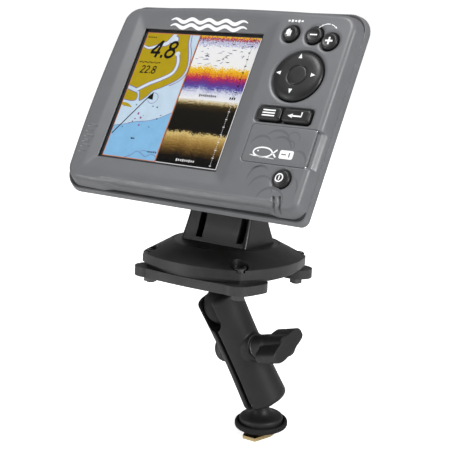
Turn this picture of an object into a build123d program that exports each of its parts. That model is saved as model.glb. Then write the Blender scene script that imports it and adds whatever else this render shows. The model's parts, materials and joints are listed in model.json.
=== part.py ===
"""Fish finder head on a tilting bracket, a two-ball arm and a track base. Millimetres, +Z up."""

import os
from math import cos, radians, sin, tan

from build123d import *

# --- Running fits and gaps ---------------------------------------------------
running_fit = 0.05
button_gap = 0.3

# --- Balls, arm and track base -----------------------------------------------
ball_radius = 12.7
ball_post_radius = 4.95
ball_height = 25.5
arm_length = 65.0
arm_lean = 23.64
arm_heading = 210.44
bolt_heading = -14.0
arm_gap = 3.2
arm_radius = 15.3
arm_waist = 14.4
arm_mouth = 8.5
arm_end_round = 3.0
arm_swing_limit = 31.5
spring_pocket = 6.0
slot_half_width = 6.6
slot_foot = 6.5
boss_radius = 8.6
front_boss_reach = 16.4
back_boss_reach = 19.0
arm_bolt_radius = 3.2
knob_hub_radius = 8.2
knob_length = 29.0
knob_span = 33.0
knob_bar = 10.5
knob_turned = 7.0
track_flange_radius = 14.8
track_flange_height = 5.9
track_pad_radius = 17.9
track_pad_thickness = 2.3
t_bolt_radius = 3.15
t_bolt_length = 30.0
t_bolt_width = 18.4
t_bolt_end_width = 9.8
t_bolt_thickness = 2.4
track_lip = 3.4

# --- Adapter plate and bracket -----------------------------------------------
base_pitch = 5.2
plate_thickness = 6.0
plate_drop = 20.0
bolt_spacing = 69.0
plate_lobe_radius = 10.5
plate_ear_reach = 11.0
plate_ear_turn = 79.0
plate_front = 46.0
plate_waist = 29.0
base_bolt_radius = 2.5
nut_width = 8.0
nut_thickness = 4.0
skirt_bottom = 9.0
skirt_height = 5.9
dome_height = 8.6
base_mid = 49.0
base_corner = 38.6
base_foot_inset = 4.0
seam_radius = 35.0
hub_radius = 20.0
pedestal_foot_width = 52.0
pedestal_foot_depth = 38.0
pedestal_foot_back = 2.0
pedestal_mid_width = 48.4
pedestal_mid_depth = 22.4
pedestal_mid_back = 1.3
pedestal_mid_height = 40.5
pedestal_top_width = 46.0
pedestal_top_depth = 11.0
groove_floor = 4.0
groove_width = 5.0
groove_bottom = 26.0
groove_top = 53.0
barrel_radius = 7.5
barrel_length = 52.0
tilt_back = 0.5
tilt_height = 66.0

# --- Display head --------------------------------------------------------------
head_tilt = 28.3
lcd_left_of_centre = 21.0
lcd_forward_of_centre = 28.5
lcd_above_plate = 115.5
front_width = 176.0
front_height = 127.5
front_corner = 10.0
lower_right_corner = 4.5
face_height = 5.0
side_flare = 3.4
seam_depth = 2.8
seal_thickness = 0.6
head_right = 21.0
head_up = -1.25
bezel_wall = 3.4
lcd_side = 89.8
window_side = 93.7
glass_side = 104.0
glass_thickness = 0.9
rear_flare = 1.2
rear_shoulder = 7.0
rear_width = 150.0
rear_height = 100.0
rear_depth = 34.0
rear_wall = 2.6
hump_width = 76.0
hump_height = 52.0
hump_up = 22.0
hump_depth = 54.0
screw_post_x = 83.0
screw_post_y = 59.0
button_top = 6.3
button_travel = 0.8
pages_at = (67.5, 46.5)
pages_radius = 5.0
zoom_out_at = (84.0, 46.0)
zoom_in_at = (95.5, 42.5)
zoom_radius = 5.4
pad_at = (82.0, 18.8)
pad_radius = 16.4
bar_left = 63.5
bar_split = 80.5
bar_right = 100.0
bar_top = -2.5
bar_bottom = -11.5
power_at = (94.0, -46.5)
power_radius = 5.6
door_left = 62.5
door_right = 107.4
door_top = -14.0
door_bottom = -38.5
door_thickness = 1.8
door_pin_radius = 0.5
card_slot_at = (86.0, -26.0)
connector_radius = 9.0
connector_bore = 6.6
connector_reach = 13.0
power_socket_at = (72.0, 22.0)
sonar_socket_at = (72.0, -8.0)

# --- Frames -------------------------------------------------------------------
lower_ball = Vector(0, 0, ball_height)
arm_axis = Vector(
    sin(radians(arm_lean)) * cos(radians(arm_heading)),
    sin(radians(arm_lean)) * sin(radians(arm_heading)),
    cos(radians(arm_lean)),
)
bolt_level = Vector(cos(radians(bolt_heading)), sin(radians(bolt_heading)), 0)
bolt_rise = -bolt_level.dot(arm_axis) / arm_axis.Z
bolt_axis = (bolt_level + Vector(0, 0, bolt_rise)).normalized()
arm_frame = Plane(origin=lower_ball, x_dir=bolt_axis, z_dir=arm_axis)
upper_ball = lower_ball + arm_axis * arm_length
base_normal = Vector(0, sin(radians(base_pitch)), cos(radians(base_pitch)))
ball_frame = Plane(origin=upper_ball, x_dir=(1, 0, 0), z_dir=base_normal)
base_frame = Plane(origin=upper_ball + base_normal * plate_drop, x_dir=(1, 0, 0), z_dir=base_normal)
head_normal = Vector(
    0,
    -cos(radians(head_tilt + base_pitch)),
    sin(radians(head_tilt + base_pitch)),
)
lcd_offset = Vector(-lcd_left_of_centre, -lcd_forward_of_centre, lcd_above_plate)
lcd_centre = base_frame.from_local_coords(lcd_offset)
head_frame = Plane(origin=lcd_centre, x_dir=(1, 0, 0), z_dir=head_normal)
track_frame = Plane.XY

# The tilt axis, in the display head's own coordinates.
tilt_point = head_frame.to_local_coords(
    base_frame.from_local_coords(Vector(0, tilt_back, tilt_height))
)
tilt_up = tilt_point.Y
tilt_depth = tilt_point.Z

bolt_corners = [
    (x * bolt_spacing / 2, y * bolt_spacing / 2) for x in (-1, 1) for y in (-1, 1)
]
post_corners = [
    (head_right + x * screw_post_x, head_up + y * screw_post_y)
    for x in (-1, 1)
    for y in (-1, 1)
]


def save(piece, label, frame):
    """Label a finished piece, set it in its frame and write it."""
    piece.part.label = label
    piece.part.location = frame.location
    export_step(piece.part, f"parts/{label}.step")


def bowed_square(middle, corner, height):
    """Return a square with outward-bowed sides and rounded corners, at a height."""
    with BuildSketch(Plane.XY.offset(height)) as outline:
        with BuildLine():
            for turn in (0, 90, 180, 270):
                ThreePointArc(
                    Vector(-corner, -corner).rotate(Axis.Z, turn),
                    Vector(0, -middle).rotate(Axis.Z, turn),
                    Vector(corner, -corner).rotate(Axis.Z, turn),
                )
        make_face()
        fillet(outline.vertices(), 3)
    return outline.sketch


def head_outline(grow, height):
    """Return the display head's rounded outline at a height, grown all round."""
    wide = front_width + 2 * grow
    high = front_height + 2 * grow
    with BuildSketch(Plane.XY.offset(height)) as outline:
        with Locations((head_right, head_up)):
            Rectangle(wide, high)
        corners = outline.vertices().sort_by_distance((head_right + wide / 2, head_up - high / 2))
        fillet(corners[1:], front_corner + grow)
        corners = outline.vertices().sort_by_distance((head_right + wide / 2, head_up - high / 2))
        fillet(corners[0], lower_right_corner + min(grow, 0))
    return outline.sketch


def rear_outline(inset, height):
    """Return the rear housing's back outline at a height, drawn in all round."""
    with BuildSketch(Plane.XY.offset(height)) as outline:
        with Locations((head_right, head_up)):
            RectangleRounded(rear_width - 2 * inset, rear_height - 2 * inset, 16 - inset)
    return outline.sketch


def neck_outline(width, depth, back, height):
    """Return one rounded cross-section of the pedestal's neck at a height."""
    with BuildSketch(Plane.XY.offset(height)) as outline:
        with Locations((0, back)):
            RectangleRounded(width, depth, 2.4)
    return outline.sketch


def ring_outline(radius, height):
    """Return a circle at a height."""
    with BuildSketch(Plane.XY.offset(height)) as outline:
        Circle(radius)
    return outline.sketch


os.makedirs("parts", exist_ok=True)

# --- Track base -----------------------------------------------------------------
flange_top = track_pad_thickness + track_flange_height
with BuildPart() as track_ball_base:
    with BuildSketch(Plane.XZ):
        with BuildLine():
            Polyline(
                (0, track_pad_thickness),
                (track_flange_radius, track_pad_thickness),
                (track_flange_radius, flange_top),
                (track_flange_radius - 1.2, flange_top + 0.4),
                (ball_post_radius + 2.2, flange_top + 2.8),
                (ball_post_radius, flange_top + 5.2),
                (ball_post_radius, ball_height + 7),
                (0, ball_height + 7),
                close=True,
            )
        make_face()
    revolve(axis=Axis.Z)
    with Locations((0, 0, track_pad_thickness)):
        Cylinder(
            t_bolt_radius + running_fit,
            16,
            align=(Align.CENTER, Align.CENTER, Align.MIN),
            mode=Mode.SUBTRACT,
        )
save(track_ball_base, "track_ball_base", track_frame)

with BuildPart() as track_pad:
    with BuildSketch():
        Circle(track_pad_radius)
        Circle(t_bolt_radius + 0.3, mode=Mode.SUBTRACT)
    extrude(amount=track_pad_thickness)
    fillet(track_pad.edges().filter_by(GeomType.CIRCLE).group_by(SortBy.RADIUS)[-1], 0.7)
save(track_pad, "track_pad", track_frame)

with BuildPart() as t_bolt:
    with BuildSketch(Plane.XY.offset(-track_lip - t_bolt_thickness)):
        with BuildLine():
            Polyline(
                (-t_bolt_end_width / 2, -t_bolt_length / 2),
                (t_bolt_end_width / 2, -t_bolt_length / 2),
                (t_bolt_width / 2, -t_bolt_end_width / 4),
                (t_bolt_width / 2, t_bolt_end_width / 4),
                (t_bolt_end_width / 2, t_bolt_length / 2),
                (-t_bolt_end_width / 2, t_bolt_length / 2),
                (-t_bolt_width / 2, t_bolt_end_width / 4),
                (-t_bolt_width / 2, -t_bolt_end_width / 4),
                close=True,
            )
        make_face()
    extrude(amount=t_bolt_thickness)
    with BuildSketch(Plane.XY.offset(-track_lip)):
        Circle(t_bolt_radius)
    extrude(amount=track_lip + track_pad_thickness + 14)
save(t_bolt, "t_bolt", track_frame)


def ball_cover(up):
    """Build a rubber ball around a post that enters it from one side."""
    with BuildPart() as cover:
        Sphere(ball_radius)
        with Locations((0, 0, 7.2 * up)):
            Cylinder(
                ball_post_radius + running_fit,
                30,
                align=(Align.CENTER, Align.CENTER, Align.MAX if up > 0 else Align.MIN),
                mode=Mode.SUBTRACT,
            )
    return cover


save(ball_cover(1), "lower_ball", Plane(origin=lower_ball, x_dir=(1, 0, 0), z_dir=(0, 0, 1)))
save(ball_cover(-1), "upper_ball", ball_frame)

# --- Arm ------------------------------------------------------------------------
socket_radius = ball_radius + running_fit
relief_start = ball_post_radius / cos(radians(arm_swing_limit)) + 0.05
relief_length = arm_mouth + 1
relief_end = relief_start + relief_length * tan(radians(arm_swing_limit))
arm_middle = arm_length / 2
bolt_head_recess = 3.4


def arm_half(side):
    """Build one half of the double-socket arm, on the +X or -X side of the split."""
    reach = front_boss_reach if side > 0 else back_boss_reach
    with BuildPart() as half:
        with BuildSketch(Plane.XZ):
            with BuildLine():
                Polyline((arm_radius, 0), (arm_radius, -arm_mouth), (0, -arm_mouth))
                Line((0, -arm_mouth), (0, arm_length + arm_mouth))
                Polyline(
                    (0, arm_length + arm_mouth), (arm_radius, arm_length + arm_mouth), (arm_radius, arm_length)
                )
                ThreePointArc((arm_radius, arm_length), (arm_waist, arm_middle), (arm_radius, 0))
            make_face()
        revolve(axis=Axis.Z)
        rims = half.edges().filter_by(GeomType.CIRCLE).group_by(Axis.Z)
        fillet(rims[0] + rims[-1], arm_end_round)
        with BuildSketch(Plane.YZ):
            with Locations((0, arm_middle)):
                Circle(boss_radius)
        extrude(amount=side * reach)
        for end in (0, arm_length):
            with Locations((0, 0, end)):
                Sphere(socket_radius, mode=Mode.SUBTRACT)
        Cone(
            relief_end,
            relief_start,
            relief_length,
            align=(Align.CENTER, Align.CENTER, Align.MAX),
            mode=Mode.SUBTRACT,
        )
        with Locations((0, 0, arm_length)):
            Cone(
                relief_start,
                relief_end,
                relief_length,
                align=(Align.CENTER, Align.CENTER, Align.MIN),
                mode=Mode.SUBTRACT,
            )
        with BuildSketch(Plane.XZ):
            with Locations((0, arm_length - slot_foot)):
                Circle(slot_half_width)
            with Locations((0, arm_length - slot_foot + 20)):
                Rectangle(2 * slot_half_width, 40)
        extrude(amount=arm_radius + 5, mode=Mode.SUBTRACT)
        with Locations((side * (arm_gap / 2 - 30), 0, arm_middle)):
            Box(60, 60, 2 * arm_length, mode=Mode.SUBTRACT)
        with Locations((0, 0, arm_middle)):
            Cylinder(
                arm_bolt_radius + running_fit, 60, rotation=(0, 90, 0), mode=Mode.SUBTRACT
            )
            Cylinder(7.0, 2 * spring_pocket, rotation=(0, 90, 0), mode=Mode.SUBTRACT)
        if side < 0:
            with Locations((-reach, 0, arm_middle)):
                Cylinder(
                    6.4,
                    bolt_head_recess,
                    rotation=(0, 90, 0),
                    align=(Align.CENTER, Align.CENTER, Align.MIN),
                    mode=Mode.SUBTRACT,
                )
    return half


save(arm_half(1), "arm_half_front", arm_frame)
save(arm_half(-1), "arm_half_back", arm_frame)

bolt_head_seat = -back_boss_reach + bolt_head_recess
with BuildPart() as arm_bolt:
    with BuildSketch(Plane.YZ.offset(bolt_head_seat - 3.2)):
        with Locations((0, arm_middle)):
            RegularPolygon(6.1, 6)
    extrude(amount=3.2)
    with BuildSketch(Plane.YZ.offset(bolt_head_seat)):
        with Locations((0, arm_middle)):
            Circle(arm_bolt_radius)
    extrude(amount=front_boss_reach - bolt_head_seat + 17)
save(arm_bolt, "arm_bolt", arm_frame)

with BuildPart() as arm_spring:
    with BuildLine() as coil:
        Helix(
            pitch=2.55,
            height=4 * 2.55,
            radius=5.0,
            center=(-spring_pocket + 0.9, 0, arm_middle),
            direction=(1, 0, 0),
        )
    with BuildSketch(Plane(origin=coil.line @ 0, z_dir=coil.line % 0)):
        Circle(0.7)
    sweep(is_frenet=True)
save(arm_spring, "arm_spring", arm_frame)

with BuildPart() as arm_washer:
    with BuildSketch(Plane.YZ.offset(front_boss_reach)):
        with Locations((0, arm_middle)):
            Circle(7.4)
            Circle(arm_bolt_radius + running_fit, mode=Mode.SUBTRACT)
    extrude(amount=1.2)
save(arm_washer, "arm_washer", arm_frame)

knob_seat = front_boss_reach + 1.3
with BuildPart() as arm_knob:
    with BuildSketch(Plane.YZ.offset(knob_seat)):
        with Locations((0, arm_middle)):
            Circle(knob_hub_radius)
    extrude(amount=knob_length - 3)
    with BuildSketch(Plane.YZ.offset(knob_seat + 4)):
        with Locations((0, arm_middle)):
            SlotOverall(knob_span, knob_bar, rotation=knob_turned)
    extrude(amount=knob_length - 4)
    fillet(arm_knob.faces().sort_by(Axis.X)[-1].edges(), 0.9)
    with Locations((knob_seat, 0, arm_middle)):
        Cylinder(
            arm_bolt_radius + running_fit,
            18,
            rotation=(0, 90, 0),
            align=(Align.CENTER, Align.CENTER, Align.MIN),
            mode=Mode.SUBTRACT,
        )
save(arm_knob, "arm_knob", arm_frame)

# --- Adapter plate ----------------------------------------------------------------
with BuildPart() as adapter_plate:
    with BuildSketch():
        with BuildLine():
            lobe = bolt_spacing / 2
            for turn in (0, 180):
                ThreePointArc(
                    Vector(-lobe, -lobe - plate_lobe_radius + 1).rotate(Axis.Z, turn),
                    Vector(0, -plate_front).rotate(Axis.Z, turn),
                    Vector(lobe, -lobe - plate_lobe_radius + 1).rotate(Axis.Z, turn),
                )
                ThreePointArc(
                    Vector(lobe, -lobe - plate_lobe_radius + 1).rotate(Axis.Z, turn),
                    Vector(plate_waist, 0).rotate(Axis.Z, turn),
                    Vector(lobe, lobe + plate_lobe_radius - 1).rotate(Axis.Z, turn),
                )
        make_face()
        with Locations(*bolt_corners):
            Circle(plate_lobe_radius)
        for turn in (0, 180):
            ear = Vector(lobe, -lobe) + Vector(plate_ear_reach / 2, 0).rotate(Axis.Z, plate_ear_turn)
            with Locations(ear.rotate(Axis.Z, turn)):
                SlotCenterToCenter(plate_ear_reach, 2 * plate_lobe_radius, rotation=plate_ear_turn)
        with Locations(*bolt_corners):
            Circle(base_bolt_radius + 0.15, mode=Mode.SUBTRACT)
        Circle(2.6, mode=Mode.SUBTRACT)
    extrude(amount=plate_thickness)
    with Locations((0, 0, plate_thickness)):
        Cylinder(
            5.2,
            3.2,
            align=(Align.CENTER, Align.CENTER, Align.MAX),
            mode=Mode.SUBTRACT,
        )
save(adapter_plate, "adapter_plate", base_frame)

with BuildPart() as plate_stud:
    with BuildSketch(Plane.XZ):
        with BuildLine():
            Polyline(
                (0, -plate_drop - 7),
                (ball_post_radius, -plate_drop - 7),
                (ball_post_radius, -5.4),
                (ball_post_radius + 2, -3.4),
                (13, -2.4),
                (13, 0),
                (0, 0),
                close=True,
            )
        make_face()
    revolve(axis=Axis.Z)
    Cylinder(
        2.1, 12, align=(Align.CENTER, Align.CENTER, Align.MAX), mode=Mode.SUBTRACT
    )
save(plate_stud, "plate_stud", base_frame)

with BuildPart() as stud_screw:
    with BuildSketch(Plane.XY.offset(plate_thickness - 3.2)):
        Circle(4.6)
    extrude(amount=2.8)
    with BuildSketch(Plane.XY.offset(plate_thickness - 3.2)):
        Circle(2.0)
    extrude(amount=-(plate_thickness - 3.2 + 11))
save(stud_screw, "stud_screw", base_frame)

# --- Bracket base -----------------------------------------------------------------
skirt_top = skirt_bottom + skirt_height
seam_height = skirt_top + dome_height
screw_floor = skirt_top - 1.4
foot_floor = seam_height - 2.6
cavity_radius = 30.0
cavity_top = 13.4
with BuildPart() as bracket_base:
    dome_top = ring_outline(seam_radius + 0.9, seam_height)
    loft(sections=(bowed_square(base_mid, base_corner, skirt_top), dome_top))
    extrude(bowed_square(base_mid, base_corner, skirt_bottom), amount=skirt_height)
    extrude(
        bowed_square(base_mid - base_foot_inset, base_corner - base_foot_inset / 2, plate_thickness),
        amount=skirt_bottom - plate_thickness,
    )
    with Locations((0, 0, plate_thickness)):
        Cylinder(
            cavity_radius,
            cavity_top - plate_thickness,
            align=(Align.CENTER, Align.CENTER, Align.MIN),
            mode=Mode.SUBTRACT,
        )
        Cylinder(
            hub_radius + running_fit,
            60,
            align=(Align.CENTER, Align.CENTER, Align.MIN),
            mode=Mode.SUBTRACT,
        )
    with Locations((0, 0, foot_floor)):
        Cylinder(
            seam_radius,
            20,
            align=(Align.CENTER, Align.CENTER, Align.MIN),
            mode=Mode.SUBTRACT,
        )
    with BuildSketch(Plane.XY.offset(screw_floor)):
        with Locations(*bolt_corners):
            Circle(5.7)
    extrude(amount=20, mode=Mode.SUBTRACT)
    with BuildSketch(Plane.XY.offset(plate_thickness)):
        with Locations(*bolt_corners):
            Circle(base_bolt_radius + 0.15)
    extrude(amount=20, mode=Mode.SUBTRACT)
save(bracket_base, "bracket_base", base_frame)

with BuildPart() as base_screws:
    with BuildSketch(Plane.XY.offset(screw_floor)):
        with Locations(*bolt_corners):
            Circle(4.7)
    extrude(amount=3.1)
    chamfer(base_screws.edges().filter_by(GeomType.CIRCLE).group_by(Axis.Z)[-1], 0.8)
    with BuildSketch(Plane.XY.offset(screw_floor)):
        with Locations(*bolt_corners):
            Circle(base_bolt_radius)
    extrude(amount=-(screw_floor + nut_thickness + 0.8))
    with BuildSketch(Plane.XY.offset(screw_floor + 3.1)):
        with Locations(*bolt_corners):
            RegularPolygon(2.2, 6)
    extrude(amount=-1.8, mode=Mode.SUBTRACT)
save(base_screws, "base_screws", base_frame)

with BuildPart() as lock_nuts:
    with BuildSketch():
        with Locations(*bolt_corners):
            RegularPolygon(nut_width / 2, 6, major_radius=False)
            Circle(base_bolt_radius + running_fit, mode=Mode.SUBTRACT)
    extrude(amount=-nut_thickness)
save(lock_nuts, "lock_nuts", base_frame)

# --- Bracket pedestal ---------------------------------------------------------------
foot_bottom = foot_floor + 0.15
ring_top = cavity_top - 0.15
with BuildPart() as bracket_pedestal:
    with BuildSketch(Plane.XY.offset(foot_bottom)):
        Circle(seam_radius - 0.35)
    extrude(amount=seam_height - foot_bottom)
    with BuildSketch(Plane.XY.offset(foot_bottom)):
        Circle(hub_radius)
    extrude(amount=ring_top - foot_bottom)
    foot = neck_outline(pedestal_foot_width, pedestal_foot_depth, pedestal_foot_back, foot_bottom + 0.5)
    waist = neck_outline(pedestal_mid_width, pedestal_mid_depth, pedestal_mid_back, pedestal_mid_height)
    top = neck_outline(pedestal_top_width, pedestal_top_depth, tilt_back, tilt_height)
    loft(sections=(foot, waist, top))
    with Locations((0, tilt_back, tilt_height)):
        Cylinder(barrel_radius, barrel_length, rotation=(0, 90, 0))
    with BuildSketch(Plane.XZ.offset(60)):
        with Locations(*[(x, (groove_bottom + groove_top) / 2) for x in (-11.5, 20.5)]):
            Rectangle(groove_width, groove_top - groove_bottom)
    extrude(amount=-(60 - groove_floor), mode=Mode.SUBTRACT)
    with Locations(*[(x, 0, ring_top) for x in (-12, 12)]):
        Cylinder(1.4, 8, align=(Align.CENTER, Align.CENTER, Align.MIN), mode=Mode.SUBTRACT)
    with Locations(*[(x * barrel_length / 2, tilt_back, tilt_height) for x in (-1, 1)]):
        Cylinder(4.5 + running_fit, 2 * 18, rotation=(0, 90, 0), mode=Mode.SUBTRACT)
save(bracket_pedestal, "bracket_pedestal", base_frame)

with BuildPart() as swivel_retainer:
    with BuildSketch(Plane.XY.offset(ring_top)):
        Circle(26)
        with Locations((-12, 0), (12, 0)):
            Circle(1.7, mode=Mode.SUBTRACT)
    extrude(amount=-2.4)
save(swivel_retainer, "swivel_retainer", base_frame)

with BuildPart() as swivel_screws:
    with BuildSketch(Plane.XY.offset(ring_top - 2.4)):
        with Locations((-12, 0), (12, 0)):
            Circle(2.9)
    extrude(amount=-2.0)
    with BuildSketch(Plane.XY.offset(ring_top - 2.4)):
        with Locations((-12, 0), (12, 0)):
            Circle(1.3)
    extrude(amount=9)
save(swivel_screws, "swivel_screws", base_frame)

# --- Tilt ratchets ---------------------------------------------------------------------
cheek_inner = barrel_length / 2 + 0.5
cheek_outer = cheek_inner + 9.0
ratchet_travel = 3.0
ratchet_reach = 9.0
ratchet_cap_radius = 7.0
ratchet_cap_seat = cheek_outer - 4.6


def ratchet(side):
    """Build one sprung release ratchet, on the +X or -X side of the barrel."""
    with BuildPart() as pin:
        with BuildSketch(Plane.YZ.offset(side * (ratchet_cap_seat + ratchet_travel + 0.3))):
            with Locations((tilt_back, tilt_height)):
                Circle(ratchet_cap_radius)
        extrude(amount=side * 3.4)
        with BuildSketch(Plane.YZ.offset(side * (barrel_length / 2 - ratchet_reach))):
            with Locations((tilt_back, tilt_height)):
                Circle(4.5)
        extrude(amount=side * (ratchet_cap_seat + ratchet_travel + 0.3 - barrel_length / 2 + ratchet_reach))
    return pin


save(ratchet(-1), "left_ratchet", base_frame)
save(ratchet(1), "right_ratchet", base_frame)


def ratchet_spring(side):
    """Build the coil spring that pushes one ratchet outwards."""
    with BuildPart() as spring:
        with BuildLine() as coil:
            Helix(
                pitch=1.6,
                height=4.5 * 1.6,
                radius=3.4,
                center=(side * 9.0, tilt_back, tilt_height),
                direction=(side, 0, 0),
            )
        with BuildSketch(Plane(origin=coil.line @ 0, z_dir=coil.line % 0)):
            Circle(0.4)
        sweep(is_frenet=True)
    return spring


save(ratchet_spring(-1), "left_ratchet_spring", base_frame)
save(ratchet_spring(1), "right_ratchet_spring", base_frame)

# --- Front bezel --------------------------------------------------------------------------
inner_face = face_height - bezel_wall
button_seats = [
    (pages_at, pages_radius),
    (zoom_out_at, zoom_radius),
    (zoom_in_at, zoom_radius),
    (power_at, power_radius),
]
bar_centre = ((bar_left + bar_right) / 2, (bar_top + bar_bottom) / 2)
door_centre = ((door_left + door_right) / 2, (door_top + door_bottom) / 2)
hinge_right = door_right - 1.2
hinge_depth = face_height - door_thickness / 2
with BuildPart() as front_bezel:
    loft(sections=(head_outline(side_flare, -seam_depth), head_outline(0, face_height)))
    front_edges = front_bezel.faces().sort_by(Axis.Z)[-1].edges()
    fillet(front_edges, 0.8)
    loft(
        sections=(
            head_outline(side_flare - bezel_wall, -seam_depth),
            head_outline(-bezel_wall, inner_face),
        ),
        mode=Mode.SUBTRACT,
    )
    with Locations(*[(x, y, inner_face) for x, y in post_corners]):
        Cylinder(4, inner_face + seam_depth, align=(Align.CENTER, Align.CENTER, Align.MAX))
    with BuildSketch(Plane.XY.offset(face_height + 0.1)):
        with Locations((1.5, 1.0)):
            RectangleRounded(109, 112, 5)
    with BuildSketch(Plane.XY.offset(face_height - 2.8)):
        RectangleRounded(window_side, window_side, 1.5)
    loft(mode=Mode.SUBTRACT)
    with BuildSketch(Plane.XY.offset(-5)):
        RectangleRounded(window_side, window_side, 1.5)
    extrude(amount=10, mode=Mode.SUBTRACT)
    with BuildSketch(Plane.XY.offset(face_height - 0.7)):
        for place, radius in button_seats:
            with Locations(place):
                Circle(radius + 1.3)
        with Locations(pad_at):
            Circle(pad_radius + 1.4)
        with Locations(bar_centre):
            RectangleRounded(bar_right - bar_left + 2, bar_top - bar_bottom + 2, 2.6)
    extrude(amount=2, mode=Mode.SUBTRACT)
    with BuildSketch(Plane.XY.offset(-5)):
        for place, radius in button_seats:
            with Locations(place):
                Circle(radius + button_gap)
        with Locations(pad_at):
            Circle(pad_radius + button_gap + 0.2)
        with Locations(bar_centre):
            RectangleRounded(
                bar_right - bar_left + 2 * button_gap, bar_top - bar_bottom + 2 * button_gap, 2
            )
    extrude(amount=12, mode=Mode.SUBTRACT)
    with BuildSketch(Plane.XY.offset(face_height - door_thickness - 0.2)):
        with Locations(door_centre):
            RectangleRounded(door_right - door_left, door_top - door_bottom, 1.0)
    extrude(amount=4, mode=Mode.SUBTRACT)
    with BuildSketch(Plane.XY.offset(-5)):
        with Locations(card_slot_at):
            Rectangle(13, 2.2)
    extrude(amount=12, mode=Mode.SUBTRACT)
    with BuildSketch(Plane.YZ.offset(-38)):
        with BuildLine():
            Polyline((-63.2, 5.6), (-67.0, -2.9), (-80, -2.9), (-80, 5.6), close=True)
        make_face()
    extrude(amount=134, mode=Mode.SUBTRACT)
    with BuildSketch(Plane.XY.offset(-1)):
        with Locations((98.6, -64.6), (102.4, -64.6)):
            SlotOverall(9, 0.9, rotation=-42)
    extrude(amount=9, mode=Mode.SUBTRACT)
    with Locations(*[(x, y, inner_face - 1) for x, y in post_corners]):
        Cylinder(1.6, 8, align=(Align.CENTER, Align.CENTER, Align.MAX), mode=Mode.SUBTRACT)
    with Locations((hinge_right, door_centre[1], hinge_depth)):
        Cylinder(
            door_pin_radius,
            door_top - door_bottom + 5,
            rotation=(90, 0, 0),
            mode=Mode.SUBTRACT,
        )
save(front_bezel, "front_bezel", head_frame)

# --- Display stack ----------------------------------------------------------------------
glass_back = 0.3
with BuildPart() as display_window:
    with BuildSketch(Plane.XY.offset(glass_back)):
        Rectangle(glass_side, glass_side)
    extrude(amount=glass_thickness)
save(display_window, "display_window", head_frame)

with BuildPart() as display_gasket:
    with BuildSketch(Plane.XY.offset(glass_back + glass_thickness)):
        Rectangle(glass_side, glass_side)
        Rectangle(glass_side - 6, glass_side - 6, mode=Mode.SUBTRACT)
    extrude(amount=inner_face - glass_back - glass_thickness)
save(display_gasket, "display_gasket", head_frame)

with BuildPart() as lcd_panel:
    with BuildSketch(Plane.XY.offset(-2.5)):
        Rectangle(lcd_side + 7, lcd_side + 7)
    extrude(amount=2.6)
save(lcd_panel, "lcd_panel", head_frame)

with BuildPart() as backlight_plate:
    with BuildSketch(Plane.XY.offset(-3.9)):
        Rectangle(lcd_side + 9, lcd_side + 9)
    extrude(amount=1.4)
save(backlight_plate, "backlight_plate", head_frame)

# --- Keys ----------------------------------------------------------------------------------
key_bottom = inner_face - 1.2
mat_top = key_bottom - button_travel - 0.2


def round_key(place, radius):
    """Build a round key with a softly rounded top."""
    with BuildPart() as key:
        with BuildSketch(Plane.XY.offset(key_bottom)):
            with Locations(place):
                Circle(radius)
        extrude(amount=button_top - key_bottom)
        fillet(key.edges().filter_by(GeomType.CIRCLE).group_by(Axis.Z)[-1], 0.8)
    return key


def bar_key(left, right):
    """Build one half of the two-key bar."""
    with BuildPart() as key:
        with BuildSketch(Plane.XY.offset(key_bottom)):
            with Locations(((left + right) / 2, bar_centre[1])):
                RectangleRounded(right - left, bar_top - bar_bottom, 1.6)
        extrude(amount=button_top - key_bottom)
        fillet(key.faces().sort_by(Axis.Z)[-1].edges(), 0.6)
    return key


save(round_key(pages_at, pages_radius), "pages_button", head_frame)
save(round_key(zoom_out_at, zoom_radius), "zoom_out_button", head_frame)
save(round_key(zoom_in_at, zoom_radius), "zoom_in_button", head_frame)
save(round_key(power_at, power_radius), "power_button", head_frame)
save(bar_key(bar_left, bar_split - 0.3), "menu_button", head_frame)
save(bar_key(bar_split + 0.3, bar_right), "enter_button", head_frame)

with BuildPart() as direction_pad:
    with BuildSketch(Plane.XY.offset(inner_face + 0.2)):
        with Locations(pad_at):
            Circle(pad_radius)
    extrude(amount=button_top + 0.3 - inner_face)
    fillet(direction_pad.edges().filter_by(GeomType.CIRCLE).group_by(Axis.Z)[-1], 1.6)
save(direction_pad, "direction_pad", head_frame)

with BuildPart() as pad_pivot:
    with BuildSketch(Plane.XY.offset(mat_top + 0.2)):
        with Locations(pad_at):
            Circle(2.6)
    extrude(amount=inner_face - mat_top - 0.2)
save(pad_pivot, "pad_pivot", head_frame)

mat_left = 59.5
mat_right = 105.0
with BuildPart() as keypad_mat:
    with BuildSketch(Plane.XY.offset(mat_top)):
        with Locations(((mat_left + mat_right) / 2, 20)):
            Rectangle(mat_right - mat_left, 65)
        with Locations(((mat_left + mat_right) / 2, -34)):
            Rectangle(mat_right - mat_left, 44)
        with Locations(((mat_left + mat_right) / 2 + 4, -26)):
            Rectangle(28, 20, mode=Mode.SUBTRACT)
    extrude(amount=-1.0)
save(keypad_mat, "keypad_mat", head_frame)

with BuildPart() as keypad_board:
    with BuildSketch(Plane.XY.offset(mat_top - 1.0)):
        with Locations(((mat_left + mat_right) / 2, 20)):
            Rectangle(mat_right - mat_left, 65)
        with Locations(((mat_left + mat_right) / 2, -34)):
            Rectangle(mat_right - mat_left, 44)
        with Locations(((mat_left + mat_right) / 2 + 4, -26)):
            Rectangle(28, 20, mode=Mode.SUBTRACT)
    extrude(amount=-1.6)
save(keypad_board, "keypad_board", head_frame)

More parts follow.
